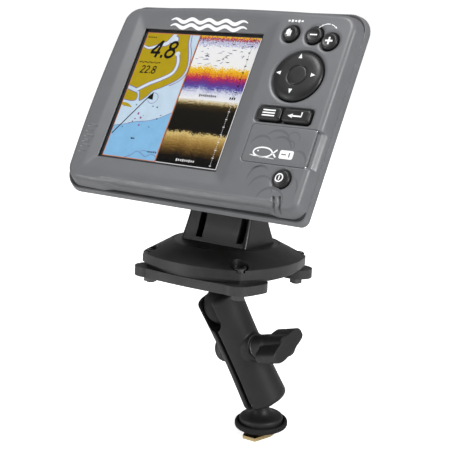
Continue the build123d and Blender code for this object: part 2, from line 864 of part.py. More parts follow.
# --- Card door --------------------------------------------------------------------------------
with BuildPart() as card_door:
    with BuildSketch(Plane.XY.offset(face_height - door_thickness)):
        with Locations(((door_left + 0.3 + hinge_right) / 2, door_centre[1])):
            Rectangle(hinge_right - door_left - 0.3, door_top - door_bottom - 0.6)
    extrude(amount=door_thickness)
    fillet(card_door.edges().filter_by(Axis.Z).group_by(Axis.X)[0], 2.4)
    with Locations((hinge_right, door_centre[1], hinge_depth)):
        Cylinder(door_thickness / 2, door_top - door_bottom - 0.6, rotation=(90, 0, 0))
        Cylinder(
            door_pin_radius + running_fit,
            door_top - door_bottom,
            rotation=(90, 0, 0),
            mode=Mode.SUBTRACT,
        )
save(card_door, "card_door", head_frame)

with BuildPart() as card_door_pin:
    with Locations((hinge_right, door_centre[1], hinge_depth)):
        Cylinder(door_pin_radius, door_top - door_bottom + 5, rotation=(90, 0, 0))
save(card_door_pin, "card_door_pin", head_frame)

with BuildPart() as card_socket:
    with BuildSketch(Plane.XY.offset(-10)):
        with Locations(card_slot_at):
            Rectangle(15, 4.2)
    extrude(amount=11.4)
    with BuildSketch(Plane.XY.offset(-8.6)):
        with Locations(card_slot_at):
            Rectangle(11.4, 1.2)
    extrude(amount=12, mode=Mode.SUBTRACT)
save(card_socket, "card_socket", head_frame)

# --- Rear housing --------------------------------------------------------------------------------
rear_top = -seam_depth - seal_thickness
board_top = -11.4
board_thickness = 1.6
board_posts = [(head_right + x * 60, head_up + y * 38) for x in (-1, 1) for y in (-1, 1)]
connectors = [power_socket_at, sonar_socket_at]
with BuildPart() as rear_housing:
    loft(
        sections=(
            head_outline(side_flare, rear_top),
            head_outline(side_flare + rear_flare, -rear_shoulder),
            rear_outline(0, -rear_depth),
        ),
        ruled=True,
    )
    with BuildSketch(Plane.XY.offset(-rear_depth)):
        with Locations((head_right, hump_up)):
            RectangleRounded(hump_width, hump_height, 8)
    with BuildSketch(Plane.XY.offset(-hump_depth)):
        with Locations((head_right, hump_up)):
            RectangleRounded(hump_width - 12, hump_height - 12, 6)
    loft()
    for side in (-1, 1):
        with BuildSketch(Plane.YZ.offset(head_right + side * cheek_inner)):
            with Locations((tilt_up, tilt_depth)):
                Circle(10.5)
            with BuildLine():
                Polyline(
                    (tilt_up - 10.5, tilt_depth),
                    (tilt_up - 12.5, -rear_depth + 3),
                    (tilt_up + 34, -rear_depth + 3),
                    (tilt_up + 34, tilt_depth - 3),
                    (tilt_up + 6, tilt_depth - 8.6),
                    close=True,
                )
            make_face()
        extrude(amount=side * (cheek_outer - cheek_inner))
    loft(
        sections=(
            head_outline(side_flare - bezel_wall, rear_top),
            head_outline(side_flare + rear_flare - rear_wall, -rear_shoulder),
            rear_outline(rear_wall, -rear_depth + rear_wall),
        ),
        ruled=True,
        mode=Mode.SUBTRACT,
    )
    with BuildSketch(Plane.XY.offset(-rear_depth + 3)):
        with Locations((head_right, hump_up)):
            RectangleRounded(hump_width - 6, hump_height - 6, 6)
    with BuildSketch(Plane.XY.offset(-hump_depth + rear_wall)):
        with Locations((head_right, hump_up)):
            RectangleRounded(hump_width - 17, hump_height - 17, 5)
    loft(mode=Mode.SUBTRACT)
    with Locations(*[(x, y, rear_top) for x, y in post_corners]):
        Cylinder(4.5, 5.1, align=(Align.CENTER, Align.CENTER, Align.MAX))
    with Locations((head_right + screw_post_x, head_up - screw_post_y, rear_top)):
        Cylinder(5.6, 5.1, align=(Align.CENTER, Align.CENTER, Align.MAX))
    with Locations(*[(x, y, -8.5) for x, y in post_corners]):
        Cylinder(3.6, 20, align=(Align.CENTER, Align.CENTER, Align.MAX), mode=Mode.SUBTRACT)
    with Locations(*[(x, y, rear_top) for x, y in post_corners]):
        Cylinder(1.65, 20, align=(Align.CENTER, Align.CENTER, Align.MAX), mode=Mode.SUBTRACT)
    with Locations(*[(x, y, -rear_depth + 1) for x, y in board_posts]):
        Cylinder(
            3.2,
            rear_depth - 1 + board_top - board_thickness,
            align=(Align.CENTER, Align.CENTER, Align.MIN),
        )
    with Locations(*[(x, y, board_top - board_thickness) for x, y in board_posts]):
        Cylinder(1.3, 8, align=(Align.CENTER, Align.CENTER, Align.MAX), mode=Mode.SUBTRACT)
    with BuildSketch(Plane.XY.offset(-rear_depth - 5)):
        with Locations(*connectors):
            Circle(connector_bore)
    extrude(amount=10, mode=Mode.SUBTRACT)
    for side in (-1, 1):
        with Locations((head_right + side * cheek_outer, tilt_up, tilt_depth)):
            Cylinder(ratchet_cap_radius + 0.25, 2 * 4.6, rotation=(0, 90, 0), mode=Mode.SUBTRACT)
            Cylinder(4.5 + running_fit, 2 * 12, rotation=(0, 90, 0), mode=Mode.SUBTRACT)
save(rear_housing, "rear_housing", head_frame)

with BuildPart() as housing_seal:
    extrude(head_outline(side_flare - 0.9, -seam_depth), amount=-seal_thickness)
    extrude(
        head_outline(side_flare - 2.6, -seam_depth),
        amount=-seal_thickness,
        mode=Mode.SUBTRACT,
    )
save(housing_seal, "housing_seal", head_frame)

with BuildPart() as housing_screws:
    with Locations(*[(x, y, -8.5) for x, y in post_corners]):
        Cylinder(3.0, 2.2, align=(Align.CENTER, Align.CENTER, Align.MAX))
        Cylinder(1.5, 8.5, align=(Align.CENTER, Align.CENTER, Align.MIN))
save(housing_screws, "housing_screws", head_frame)

# --- Electronics ------------------------------------------------------------------------------------
with BuildPart() as main_board:
    with BuildSketch(Plane.XY.offset(board_top)):
        with Locations((head_right, head_up)):
            Rectangle(140, 96)
        with Locations(*board_posts):
            Circle(1.6, mode=Mode.SUBTRACT)
    extrude(amount=-board_thickness)
save(main_board, "main_board", head_frame)

with BuildPart() as board_screws:
    with Locations(*[(x, y, board_top) for x, y in board_posts]):
        Cylinder(2.6, 1.8, align=(Align.CENTER, Align.CENTER, Align.MIN))
        Cylinder(1.2, 8, align=(Align.CENTER, Align.CENTER, Align.MAX))
save(board_screws, "board_screws", head_frame)

with BuildPart() as sonar_module:
    with BuildSketch(Plane.XY.offset(board_top - board_thickness)):
        with Locations((head_right - 30, head_up + 10)):
            Rectangle(46, 34)
    extrude(amount=-9)
save(sonar_module, "sonar_module", head_frame)

with BuildPart() as gps_antenna:
    with BuildSketch(Plane.XY.offset(board_top)):
        with Locations((head_right + 48, head_up + 30)):
            Rectangle(18, 18)
    extrude(amount=4)
save(gps_antenna, "gps_antenna", head_frame)

with BuildPart() as buzzer:
    with Locations((head_right + 20, head_up - 34, board_top - board_thickness)):
        Cylinder(7, 5, align=(Align.CENTER, Align.CENTER, Align.MAX))
save(buzzer, "buzzer", head_frame)


def connector(place):
    """Build a round keyed connector shell with a closed back wall."""
    with BuildPart() as shell:
        with BuildSketch(Plane.XY.offset(-rear_depth)):
            with Locations(place):
                Circle(connector_radius)
                Circle(connector_bore, mode=Mode.SUBTRACT)
        extrude(amount=-connector_reach)
        with BuildSketch(Plane.XY.offset(-rear_depth)):
            with Locations(place):
                Circle(connector_bore)
        extrude(amount=-1.6)
        with BuildSketch(Plane.XY.offset(-rear_depth - 1.6)):
            with Locations((place[0], place[1] + connector_bore)):
                Rectangle(2.2, 1.6)
        extrude(amount=-connector_reach + 2.6)
        with BuildSketch(Plane.XY.offset(-rear_depth - 1.6)):
            with Locations(place):
                with PolarLocations(3.2, 4):
                    Circle(0.75)
        extrude(amount=1.6, mode=Mode.SUBTRACT)
    return shell


def connector_pins(place):
    """Build the contact pins of one connector."""
    with BuildPart() as pins:
        with BuildSketch(Plane.XY.offset(-rear_depth - 5)):
            with Locations(place):
                with PolarLocations(3.2, 4):
                    Circle(0.75)
        extrude(amount=9)
    return pins


save(connector(power_socket_at), "power_socket", head_frame)
save(connector(sonar_socket_at), "sonar_socket", head_frame)
save(connector_pins(power_socket_at), "power_pins", head_frame)
save(connector_pins(sonar_socket_at), "sonar_pins", head_frame)
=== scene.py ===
"""Looks of the fish finder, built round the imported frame. Lengths are in millimetres
in the display's and arm's own axes, and metres once they are placed."""

import json
import math
import random

import bmesh
import bpy
import numpy as np
from mathutils import Matrix, Vector


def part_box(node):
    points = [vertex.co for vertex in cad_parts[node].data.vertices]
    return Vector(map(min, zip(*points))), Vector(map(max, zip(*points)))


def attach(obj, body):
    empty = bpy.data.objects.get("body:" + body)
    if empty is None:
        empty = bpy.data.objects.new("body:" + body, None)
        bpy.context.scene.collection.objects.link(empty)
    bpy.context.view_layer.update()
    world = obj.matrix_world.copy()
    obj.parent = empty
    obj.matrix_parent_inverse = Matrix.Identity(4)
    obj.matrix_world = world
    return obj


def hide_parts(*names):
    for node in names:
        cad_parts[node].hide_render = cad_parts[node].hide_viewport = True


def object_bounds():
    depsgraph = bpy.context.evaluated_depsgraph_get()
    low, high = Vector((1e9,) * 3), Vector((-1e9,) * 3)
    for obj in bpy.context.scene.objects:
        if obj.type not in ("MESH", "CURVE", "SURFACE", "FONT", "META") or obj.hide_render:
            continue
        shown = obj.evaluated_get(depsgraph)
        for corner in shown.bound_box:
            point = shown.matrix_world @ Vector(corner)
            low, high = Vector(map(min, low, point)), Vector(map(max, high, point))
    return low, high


MM = 0.001
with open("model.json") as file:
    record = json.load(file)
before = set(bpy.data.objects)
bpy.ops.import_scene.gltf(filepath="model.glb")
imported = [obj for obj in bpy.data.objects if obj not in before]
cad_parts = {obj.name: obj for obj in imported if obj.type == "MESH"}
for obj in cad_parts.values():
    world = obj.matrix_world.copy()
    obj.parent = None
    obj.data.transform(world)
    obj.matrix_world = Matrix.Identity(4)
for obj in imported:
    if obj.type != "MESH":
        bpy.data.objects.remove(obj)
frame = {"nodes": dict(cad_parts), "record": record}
cad_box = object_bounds()
nodes = frame["nodes"]


def middle(node):
    """Centre of a CAD node's box."""
    low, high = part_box(node)
    return (Vector(low) + Vector(high)) / 2


def axes(origin, x, y, z):
    """Matrix that takes millimetres along three axes to the row's metres."""
    spin = Matrix((x, y, z)).transposed().to_4x4()
    return Matrix.Translation(origin) @ spin @ Matrix.Scale(MM, 4)


# --- The pieces' own axes, found from the frame
LEAN = math.radians(33.5)
HEAD_V = Vector((0, math.sin(LEAN), math.cos(LEAN)))
HEAD_W = Vector((0, -math.cos(LEAN), math.sin(LEAN)))
HEAD = axes(middle("lcd_panel") + HEAD_W * 1.2 * MM, Vector((1, 0, 0)), HEAD_V, HEAD_W)
PITCH = math.radians(5.2)
BASE_Z = Vector((0, math.sin(PITCH), math.cos(PITCH)))
ROW = Matrix.Scale(MM, 4)
LOWER_BALL = Vector((0, 0, 25.5)) * MM
UPPER_BALL = middle("adapter_plate") - BASE_Z * 23 * MM
ARM_Z = (UPPER_BALL - LOWER_BALL).normalized()
ARM_LENGTH = (UPPER_BALL - LOWER_BALL).length / MM
ARM_X = (middle("arm_washer") - (UPPER_BALL + LOWER_BALL) / 2).normalized()
ARM_X = (ARM_X - ARM_Z * ARM_X.dot(ARM_Z)).normalized()
ARM = axes(LOWER_BALL, ARM_X, ARM_Z.cross(ARM_X), ARM_Z)


# --- Materials
class Shader:
    """A small helper that adds nodes to one material."""

    def __init__(self, name):
        self.material = bpy.data.materials.new(name)
        self.material.use_nodes = True
        self.tree = self.material.node_tree
        self.tree.nodes.clear()
        self.out = self.tree.nodes.new("ShaderNodeOutputMaterial")
        self.bsdf = self.tree.nodes.new("ShaderNodeBsdfPrincipled")
        self.link(self.bsdf.outputs[0], self.out.inputs["Surface"])

    def link(self, a, b):
        self.tree.links.new(a, b)

    def node(self, kind, **values):
        made = self.tree.nodes.new(kind)
        for key, value in values.items():
            if key in made.inputs:
                made.inputs[key].default_value = value
            else:
                setattr(made, key, value)
        return made

    def coords(self, kind="Object"):
        return self.node("ShaderNodeTexCoord").outputs[kind]

    def noise(self, scale, detail=4.0, rough=0.55, coords=None):
        made = self.node("ShaderNodeTexNoise", Scale=scale, Detail=detail, Roughness=rough)
        self.link(coords or self.coords(), made.inputs["Vector"])
        return made.outputs["Fac"]

    def span(self, value, low, high, to_low, to_high):
        made = self.node("ShaderNodeMapRange")
        made.inputs["From Min"].default_value = low
        made.inputs["From Max"].default_value = high
        made.inputs["To Min"].default_value = to_low
        made.inputs["To Max"].default_value = to_high
        self.link(value, made.inputs["Value"])
        return made.outputs["Result"]

    def mix(self, fac, a, b, blend="MIX"):
        made = self.node("ShaderNodeMix", data_type="RGBA", blend_type=blend)
        for socket, value in ((made.inputs[0], fac), (made.inputs[6], a), (made.inputs[7], b)):
            if isinstance(value, (tuple, list)):
                socket.default_value = (*value, 1)
            elif isinstance(value, (int, float)):
                socket.default_value = value
            else:
                self.link(value, socket)
        return made.outputs[2]

    def math(self, operation, a, b=0.5):
        made = self.node("ShaderNodeMath", operation=operation)
        for socket, value in ((made.inputs[0], a), (made.inputs[1], b)):
            if isinstance(value, (int, float)):
                socket.default_value = value
            else:
                self.link(value, socket)
        return made.outputs[0]

    def ramp(self, value, stops, mode="LINEAR"):
        made = self.node("ShaderNodeValToRGB")
        made.color_ramp.interpolation = mode
        points = made.color_ramp.elements
        while len(points) < len(stops):
            points.new(0.5)
        for point, (place, color) in zip(points, stops):
            point.position = place
            point.color = (*color, 1)
        self.link(value, made.inputs[0])
        return made.outputs[0]

    def combine(self, x, y):
        made = self.node("ShaderNodeCombineXYZ")
        self.link(x, made.inputs[0])
        made.inputs[1].default_value = y
        return made.outputs[0]

    def bump(self, height, strength, distance):
        made = self.node("ShaderNodeBump", Strength=strength, Distance=distance)
        self.link(height, made.inputs["Height"])
        self.link(made.outputs[0], self.bsdf.inputs["Normal"])


def surface(name, color, rough, grain, grain_depth, metallic=0.0, tint=0.12, wear=0.0, spread=0.07,
            specular=0.5, coat=0.0):
    """A moulded, rubber or metal surface with colour drift, grain, scuffs and worn edges."""
    s = Shader(name)
    drift = s.noise(38.0, 3.0)
    fine = s.noise(grain, 2.0, 0.5)
    dark = tuple(c * (1 - tint) for c in color)
    light = tuple(min(1.0, c * (1 + tint)) for c in color)
    shade = s.mix(s.span(drift, 0.3, 0.7, 0.0, 1.0), dark, light)
    shade = s.mix(s.span(fine, 0.35, 0.65, 0.0, 0.35), shade, tuple(c * 0.8 for c in color))
    if wear:
        edge = s.node("ShaderNodeNewGeometry").outputs["Pointiness"]
        worn = s.math("MULTIPLY", s.span(edge, 0.51, 0.6, 0.0, wear), s.span(drift, 0.35, 0.6, 0.4, 1.0))
        shade = s.mix(worn, shade, tuple(min(1.0, c * 1.7 + 0.03) for c in color))
    s.link(shade, s.bsdf.inputs["Base Color"])
    smear = s.noise(90.0, 5.0, 0.6)
    s.link(s.span(smear, 0.3, 0.7, rough - spread, rough + spread), s.bsdf.inputs["Roughness"])
    s.bsdf.inputs["Metallic"].default_value = metallic
    s.bsdf.inputs["Specular IOR Level"].default_value = specular
    s.bsdf.inputs["Coat Weight"].default_value = coat
    s.bump(fine, 0.5, grain_depth * MM)
    return s.material


LOOKS = {
    "grey_shell": surface("grey_shell", (0.118, 0.121, 0.128), 0.40, 2600, 0.03, tint=0.04, wear=0.12),
    "moulded_black": surface("moulded_black", (0.011, 0.0107, 0.0105), 0.5, 1500, 0.09, tint=0.2, wear=0.5,
        specular=0.36),
    "rubber_black": surface("rubber_black", (0.009, 0.009, 0.0095), 0.68, 1200, 0.06, tint=0.2, specular=0.3),
    "bracket_black": surface("bracket_black", (0.0095, 0.0092, 0.0088), 0.36, 2400, 0.03, tint=0.12,
        wear=0.3, specular=0.42),
    "coated_plate": surface("coated_plate", (0.016, 0.016, 0.0165), 0.5, 1700, 0.07, tint=0.16, wear=0.35,
        specular=0.4),
    "key_rubber": surface("key_rubber", (0.010, 0.010, 0.0105), 0.4, 1900, 0.03, tint=0.12, specular=0.4),
    "black_nickel": surface("black_nickel", (0.05, 0.05, 0.05), 0.24, 900, 0.02, metallic=0.9, wear=0.4),
    "steel": surface("steel", (0.5, 0.5, 0.5), 0.3, 900, 0.02, metallic=1.0),
    "spring_steel": surface("spring_steel", (0.45, 0.45, 0.46), 0.26, 900, 0.01, metallic=1.0),
    "brass_bolt": surface("brass_bolt", (0.62, 0.47, 0.24), 0.27, 700, 0.03, metallic=1.0, tint=0.25,
        wear=0.5),
    "aluminium_stud": surface("aluminium_stud", (0.035, 0.035, 0.036), 0.45, 1500, 0.05, tint=0.2),
    "aluminium_sheet": surface("aluminium_sheet", (0.6, 0.6, 0.61), 0.35, 900, 0.01, metallic=1.0),
    "inner_plastic": surface("inner_plastic", (0.02, 0.02, 0.02), 0.45, 1500, 0.03),
    "circuit_board": surface("circuit_board", (0.01, 0.09, 0.035), 0.4, 500, 0.02, tint=0.3),
    "tin_plate": surface("tin_plate", (0.62, 0.62, 0.62), 0.3, 600, 0.01, metallic=1.0),
    "ceramic_block": surface("ceramic_block", (0.55, 0.5, 0.38), 0.6, 900, 0.02),
    "contact_brass": surface("contact_brass", (0.75, 0.6, 0.25), 0.25, 700, 0.01, metallic=1.0),
    "seam_dark": surface("seam_dark", (0.02, 0.02, 0.022), 0.6, 900, 0.02),
    "print_white": surface("print_white", (0.78, 0.79, 0.8), 0.5, 2500, 0.01, tint=0.03),
    "print_dark": surface("print_dark", (0.085, 0.088, 0.095), 0.5, 2600, 0.02, tint=0.05),
}

# --- Meshes
def piece(name, points, faces, place, look, body, replaces=(), smooth=True):
    """Make a mesh from millimetre points, place it and let it ride on a body."""
    mesh = bpy.data.meshes.new(name)
    mesh.from_pydata([tuple(place @ Vector(p)) for p in points], [], faces)
    mesh.validate()
    mesh.update()
    if smooth:
        mesh.shade_smooth()
    made = bpy.data.objects.new(name, mesh)
    bpy.context.scene.collection.objects.link(made)
    mesh.materials.append(LOOKS[look] if isinstance(look, str) else look)
    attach(made, body)
    if replaces:
        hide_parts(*replaces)
    return made


def rounded(left, right, bottom, top, radius, count=10):
    """Outline of a rounded rectangle, anticlockwise."""
    made = []
    for cx, cy, start in (
        (right - radius, bottom + radius, -90),
        (right - radius, top - radius, 0),
        (left + radius, top - radius, 90),
        (left + radius, bottom + radius, 180),
    ):
        for i in range(count + 1):
            a = math.radians(start + 90 * i / count)
            made.append((cx + radius * math.cos(a), cy + radius * math.sin(a)))
    return made


def normals(outline):
    made = []
    for i, p in enumerate(outline):
        a, b = outline[i - 1], outline[(i + 1) % len(outline)]
        d = math.hypot(b[0] - a[0], b[1] - a[1]) or 1
        made.append(((b[1] - a[1]) / d, -(b[0] - a[0]) / d))
    return made


def puck(name, outline, profile, place, look, body, replaces=()):
    """A key or disc: rings of an outline drawn in by the profile's insets, closed at both ends."""
    out = normals(outline)
    count = len(outline)
    points = []
    for inset, height in profile:
        for (x, y), (nx, ny) in zip(outline, out):
            points.append((x - nx * inset, y - ny * inset, height))
    faces = []
    for ring in range(len(profile) - 1):
        for i in range(count):
            j = (i + 1) % count
            a, b = ring * count, (ring + 1) * count
            faces.append((a + i, a + j, b + j, b + i))
    faces.append(tuple(reversed(range(count))))
    faces.append(tuple(range((len(profile) - 1) * count, len(profile) * count)))
    return piece(name, points, faces, place, look, body, replaces)


def lathe(name, profile, place, look, body, replaces=(), count=96, centre=(0, 0)):
    """A turned piece from (radius, height) pairs."""
    points, faces = [], []
    for radius, height in profile:
        for i in range(count):
            a = 2 * math.pi * i / count
            points.append((centre[0] + radius * math.cos(a), centre[1] + radius * math.sin(a), height))
    for ring in range(len(profile) - 1):
        for i in range(count):
            j = (i + 1) % count
            a, b = ring * count, (ring + 1) * count
            faces.append((a + i, a + j, b + j, b + i))
    faces.append(tuple(reversed(range(count))))
    faces.append(tuple(range((len(profile) - 1) * count, len(profile) * count)))
    return piece(name, points, faces, place, look, body, replaces)


def strip(path, width):
    """Quads along an open line, in the plane, with a width that may taper."""
    points, faces = [], []
    widths = width if isinstance(width, (list, tuple)) else [width] * len(path)
    for i, p in enumerate(path):
        a, b = path[max(i - 1, 0)], path[min(i + 1, len(path) - 1)]
        d = math.hypot(b[0] - a[0], b[1] - a[1]) or 1
        n = (-(b[1] - a[1]) / d * widths[i] / 2, (b[0] - a[0]) / d * widths[i] / 2)
        points += [(p[0] + n[0], p[1] + n[1]), (p[0] - n[0], p[1] - n[1])]
        if i:
            faces.append((2 * i - 2, 2 * i - 1, 2 * i + 1, 2 * i))
    return points, faces


def arc(cx, cy, rx, ry, start, end, count=20):
    made = []
    for i in range(count + 1):
        a = math.radians(start + (end - start) * i / count)
        made.append((cx + rx * math.cos(a), cy + ry * math.sin(a)))
    return made


def decal(name, shapes, height, look, body, thick=0.03, place=None):
    """Thin printed shapes at a height: each is a closed outline, or a (points, faces) strip."""
    points, faces = [], []
    for shape in shapes:
        start = len(points)
        if isinstance(shape, tuple):
            own, own_faces = shape
            points += [(x, y, height) for x, y in own]
            faces += [tuple(start + i for i in f) for f in own_faces]
        else:
            points += [(x, y, height) for x, y in shape]
            faces.append(tuple(start + i for i in range(len(shape))))
    made = piece(name, points, faces, place or HEAD, look, body, smooth=False)
    if thick:
        solid = made.modifiers.new("thick", "SOLIDIFY")
        solid.thickness = thick * MM
        solid.offset = 0
    return made


# --- Front bezel
FACE = 5.0
EDGE_ROUND = 3.6
FLARE = 4.35
SEAM = -6.2
WINDOW = 46.85
WELLS = (
    ((67.5, 46.5), 6.5, 2.6),
    ((84.0, 46.0), 6.6, 2.8),
    ((95.5, 42.5), 6.6, 2.8),
    ((82.0, 18.8), 17.7, 2.6),
    ((94.0, -46.5), 6.6, 1.6),
)


def front_outline(inset=0.0, count=24):
    """The face's outline: four gently bowed sides and round corners."""
    left, right, bottom, top = -66.6, 108.7, -64.8, 62.3
    made = []
    raw = []
    for cx, cy, start, radius in ((right, bottom, -90, 4.5), (right, top, 0, 9.5), (left, top, 90, 9.5),
            (left, bottom, 180, 9.5)):
        cx += -radius if cx > 0 else radius
        cy += -radius if cy > 0 else radius
        own = max(radius - inset, 0.6)
        for i in range(count + 1):
            a = math.radians(start + 90 * i / count)
            raw.append((cx + own * math.cos(a), cy + own * math.sin(a)))
    full = []
    for i, (x, y) in enumerate(raw):
        nx, ny = raw[(i + 1) % len(raw)]
        steps = max(1, int(math.hypot(nx - x, ny - y) / 0.8))
        full += [(x + (nx - x) * k / steps, y + (ny - y) * k / steps) for k in range(steps)]
    for x, y in full:
        across, up = (x - 21) / 88, (y + 1.2) / 63.6
        x += 2.4 * up**2 * max(0.0, -across)
        y -= (2.6 if y > 0 else -1.2) * across**2 * abs(up)
        made.append((x, y))
    return made


def signed(points, outline):
    """Distance inside an outline (positive inside) and the nearest place on it."""
    a = np.array(outline)
    b = np.roll(a, -1, axis=0)
    step = b - a
    size = (step**2).sum(1)
    best = np.full(len(points), 1e9)
    near = np.zeros_like(points)
    inside = np.zeros(len(points), bool)
    for k in range(len(a)):
        t = np.clip(((points - a[k]) @ step[k]) / size[k], 0, 1)
        foot = a[k] + t[:, None] * step[k]
        d = np.hypot(*(points - foot).T)
        hit = d < best
        best[hit] = d[hit]
        near[hit] = foot[hit]
        cross = step[k, 0] * (points[:, 1] - a[k, 1]) - step[k, 1] * (points[:, 0] - a[k, 0])
        inside[hit] = cross[hit] > 0
    return np.where(inside, best, -best), near


def soft(value, width):
    return 0.5 * (value + np.sqrt(value**2 + width**2))


def step(value):
    t = np.clip(value, 0, 1)
    return t * t * (3 - 2 * t)


def box_distance(u, v, left, right, bottom, top, radius):
    cx, cy = (left + right) / 2, (bottom + top) / 2
    qx = np.abs(u - cx) - (right - left) / 2 + radius
    qy = np.abs(v - cy) - (top - bottom) / 2 + radius
    outside = np.hypot(np.maximum(qx, 0), np.maximum(qy, 0))
    return outside + np.minimum(np.maximum(qx, qy), 0) - radius


def line_distance(u, v, a, b):
    dx, dy = b[0] - a[0], b[1] - a[1]
    t = np.clip(((u - a[0]) * dx + (v - a[1]) * dy) / (dx * dx + dy * dy), 0, 1)
    return np.hypot(u - a[0] - t * dx, v - a[1] - t * dy)


def front_height(u, v):
    """Height of the face over the lit panel, with its frame, wells, door seat and grooves."""
    h = np.full(u.shape, FACE)
    # Picture-frame recess, sloping to the window.
    sides = [
        (u + 53.5) / 6.6,
        (56.5 - u) / 9.6,
        (57.3 - v) / 10.4,
        (v + 55.8) / 8.9,
    ]
    sharp = 6.0
    share = -np.log(sum(np.exp(-sharp * np.clip(s, -2, 2)) for s in sides)) / sharp
    drop = soft(share, 0.16)
    h = h - 2.7 * np.minimum(drop, 1.04)
    # Wells round the keys.
    for (cx, cy), radius, depth in WELLS:
        d = radius - np.hypot(u - cx, v - cy)
        h = np.minimum(h, FACE - depth * step(d / 1.3) - 0.35 * step((d + 1.6) / 1.8))
    d = -box_distance(u, v, 62.2, 101.3, -12.8, -1.2, 2.8)
    h = np.minimum(h, FACE - 2.6 * step(d / 1.2) - 0.3 * step((d + 1.2) / 1.4))
    # Door seat.
    d = -box_distance(u, v, 62.45, 107.45, -38.55, -13.95, 2.6)
    h = np.minimum(h, FACE - 1.9 * step(d / 0.5))
    # Line between the face and the right-hand bevel.
    reach = np.abs(u - (107.9 - 1.0 * ((v + 1) / 62) ** 4))
    h = h - 0.9 * step((0.6 - reach) / 0.4) * step((59 - np.abs(v + 2)) / 3)
    # Two slanted slits at the lower right corner.
    for a, b in (((92.6, -57.8), (96.2, -66.5)), ((96.6, -57.4), (100.6, -66.5))):
        h = h - 2.2 * step((0.75 - line_distance(u, v, a, b)) / 0.4)
    # Row of pressed ticks on the left, in place of lettering.
    for k in range(6):
        y = -27.5 - 3.6 * k
        long = 5.6 if k % 2 == 0 else 3.6
        d = line_distance(u, v, (-60.2, y), (-60.2 + long, y))
        h = h - 0.8 * step((0.85 - d) / 0.45)
    # The chin is drawn back below the lip.
    lip = -61.9 + 0.9 * np.abs((u - 29) / 67) ** 6
    chin = step((u + 38) / 6) * step((98 - u) / 8)
    h = h + chin * 0.35 * step(1 - np.abs(v - lip - 0.7) / 1.2)
    h = h - chin * 0.9 * step((lip - v) / 1.6)
    return h


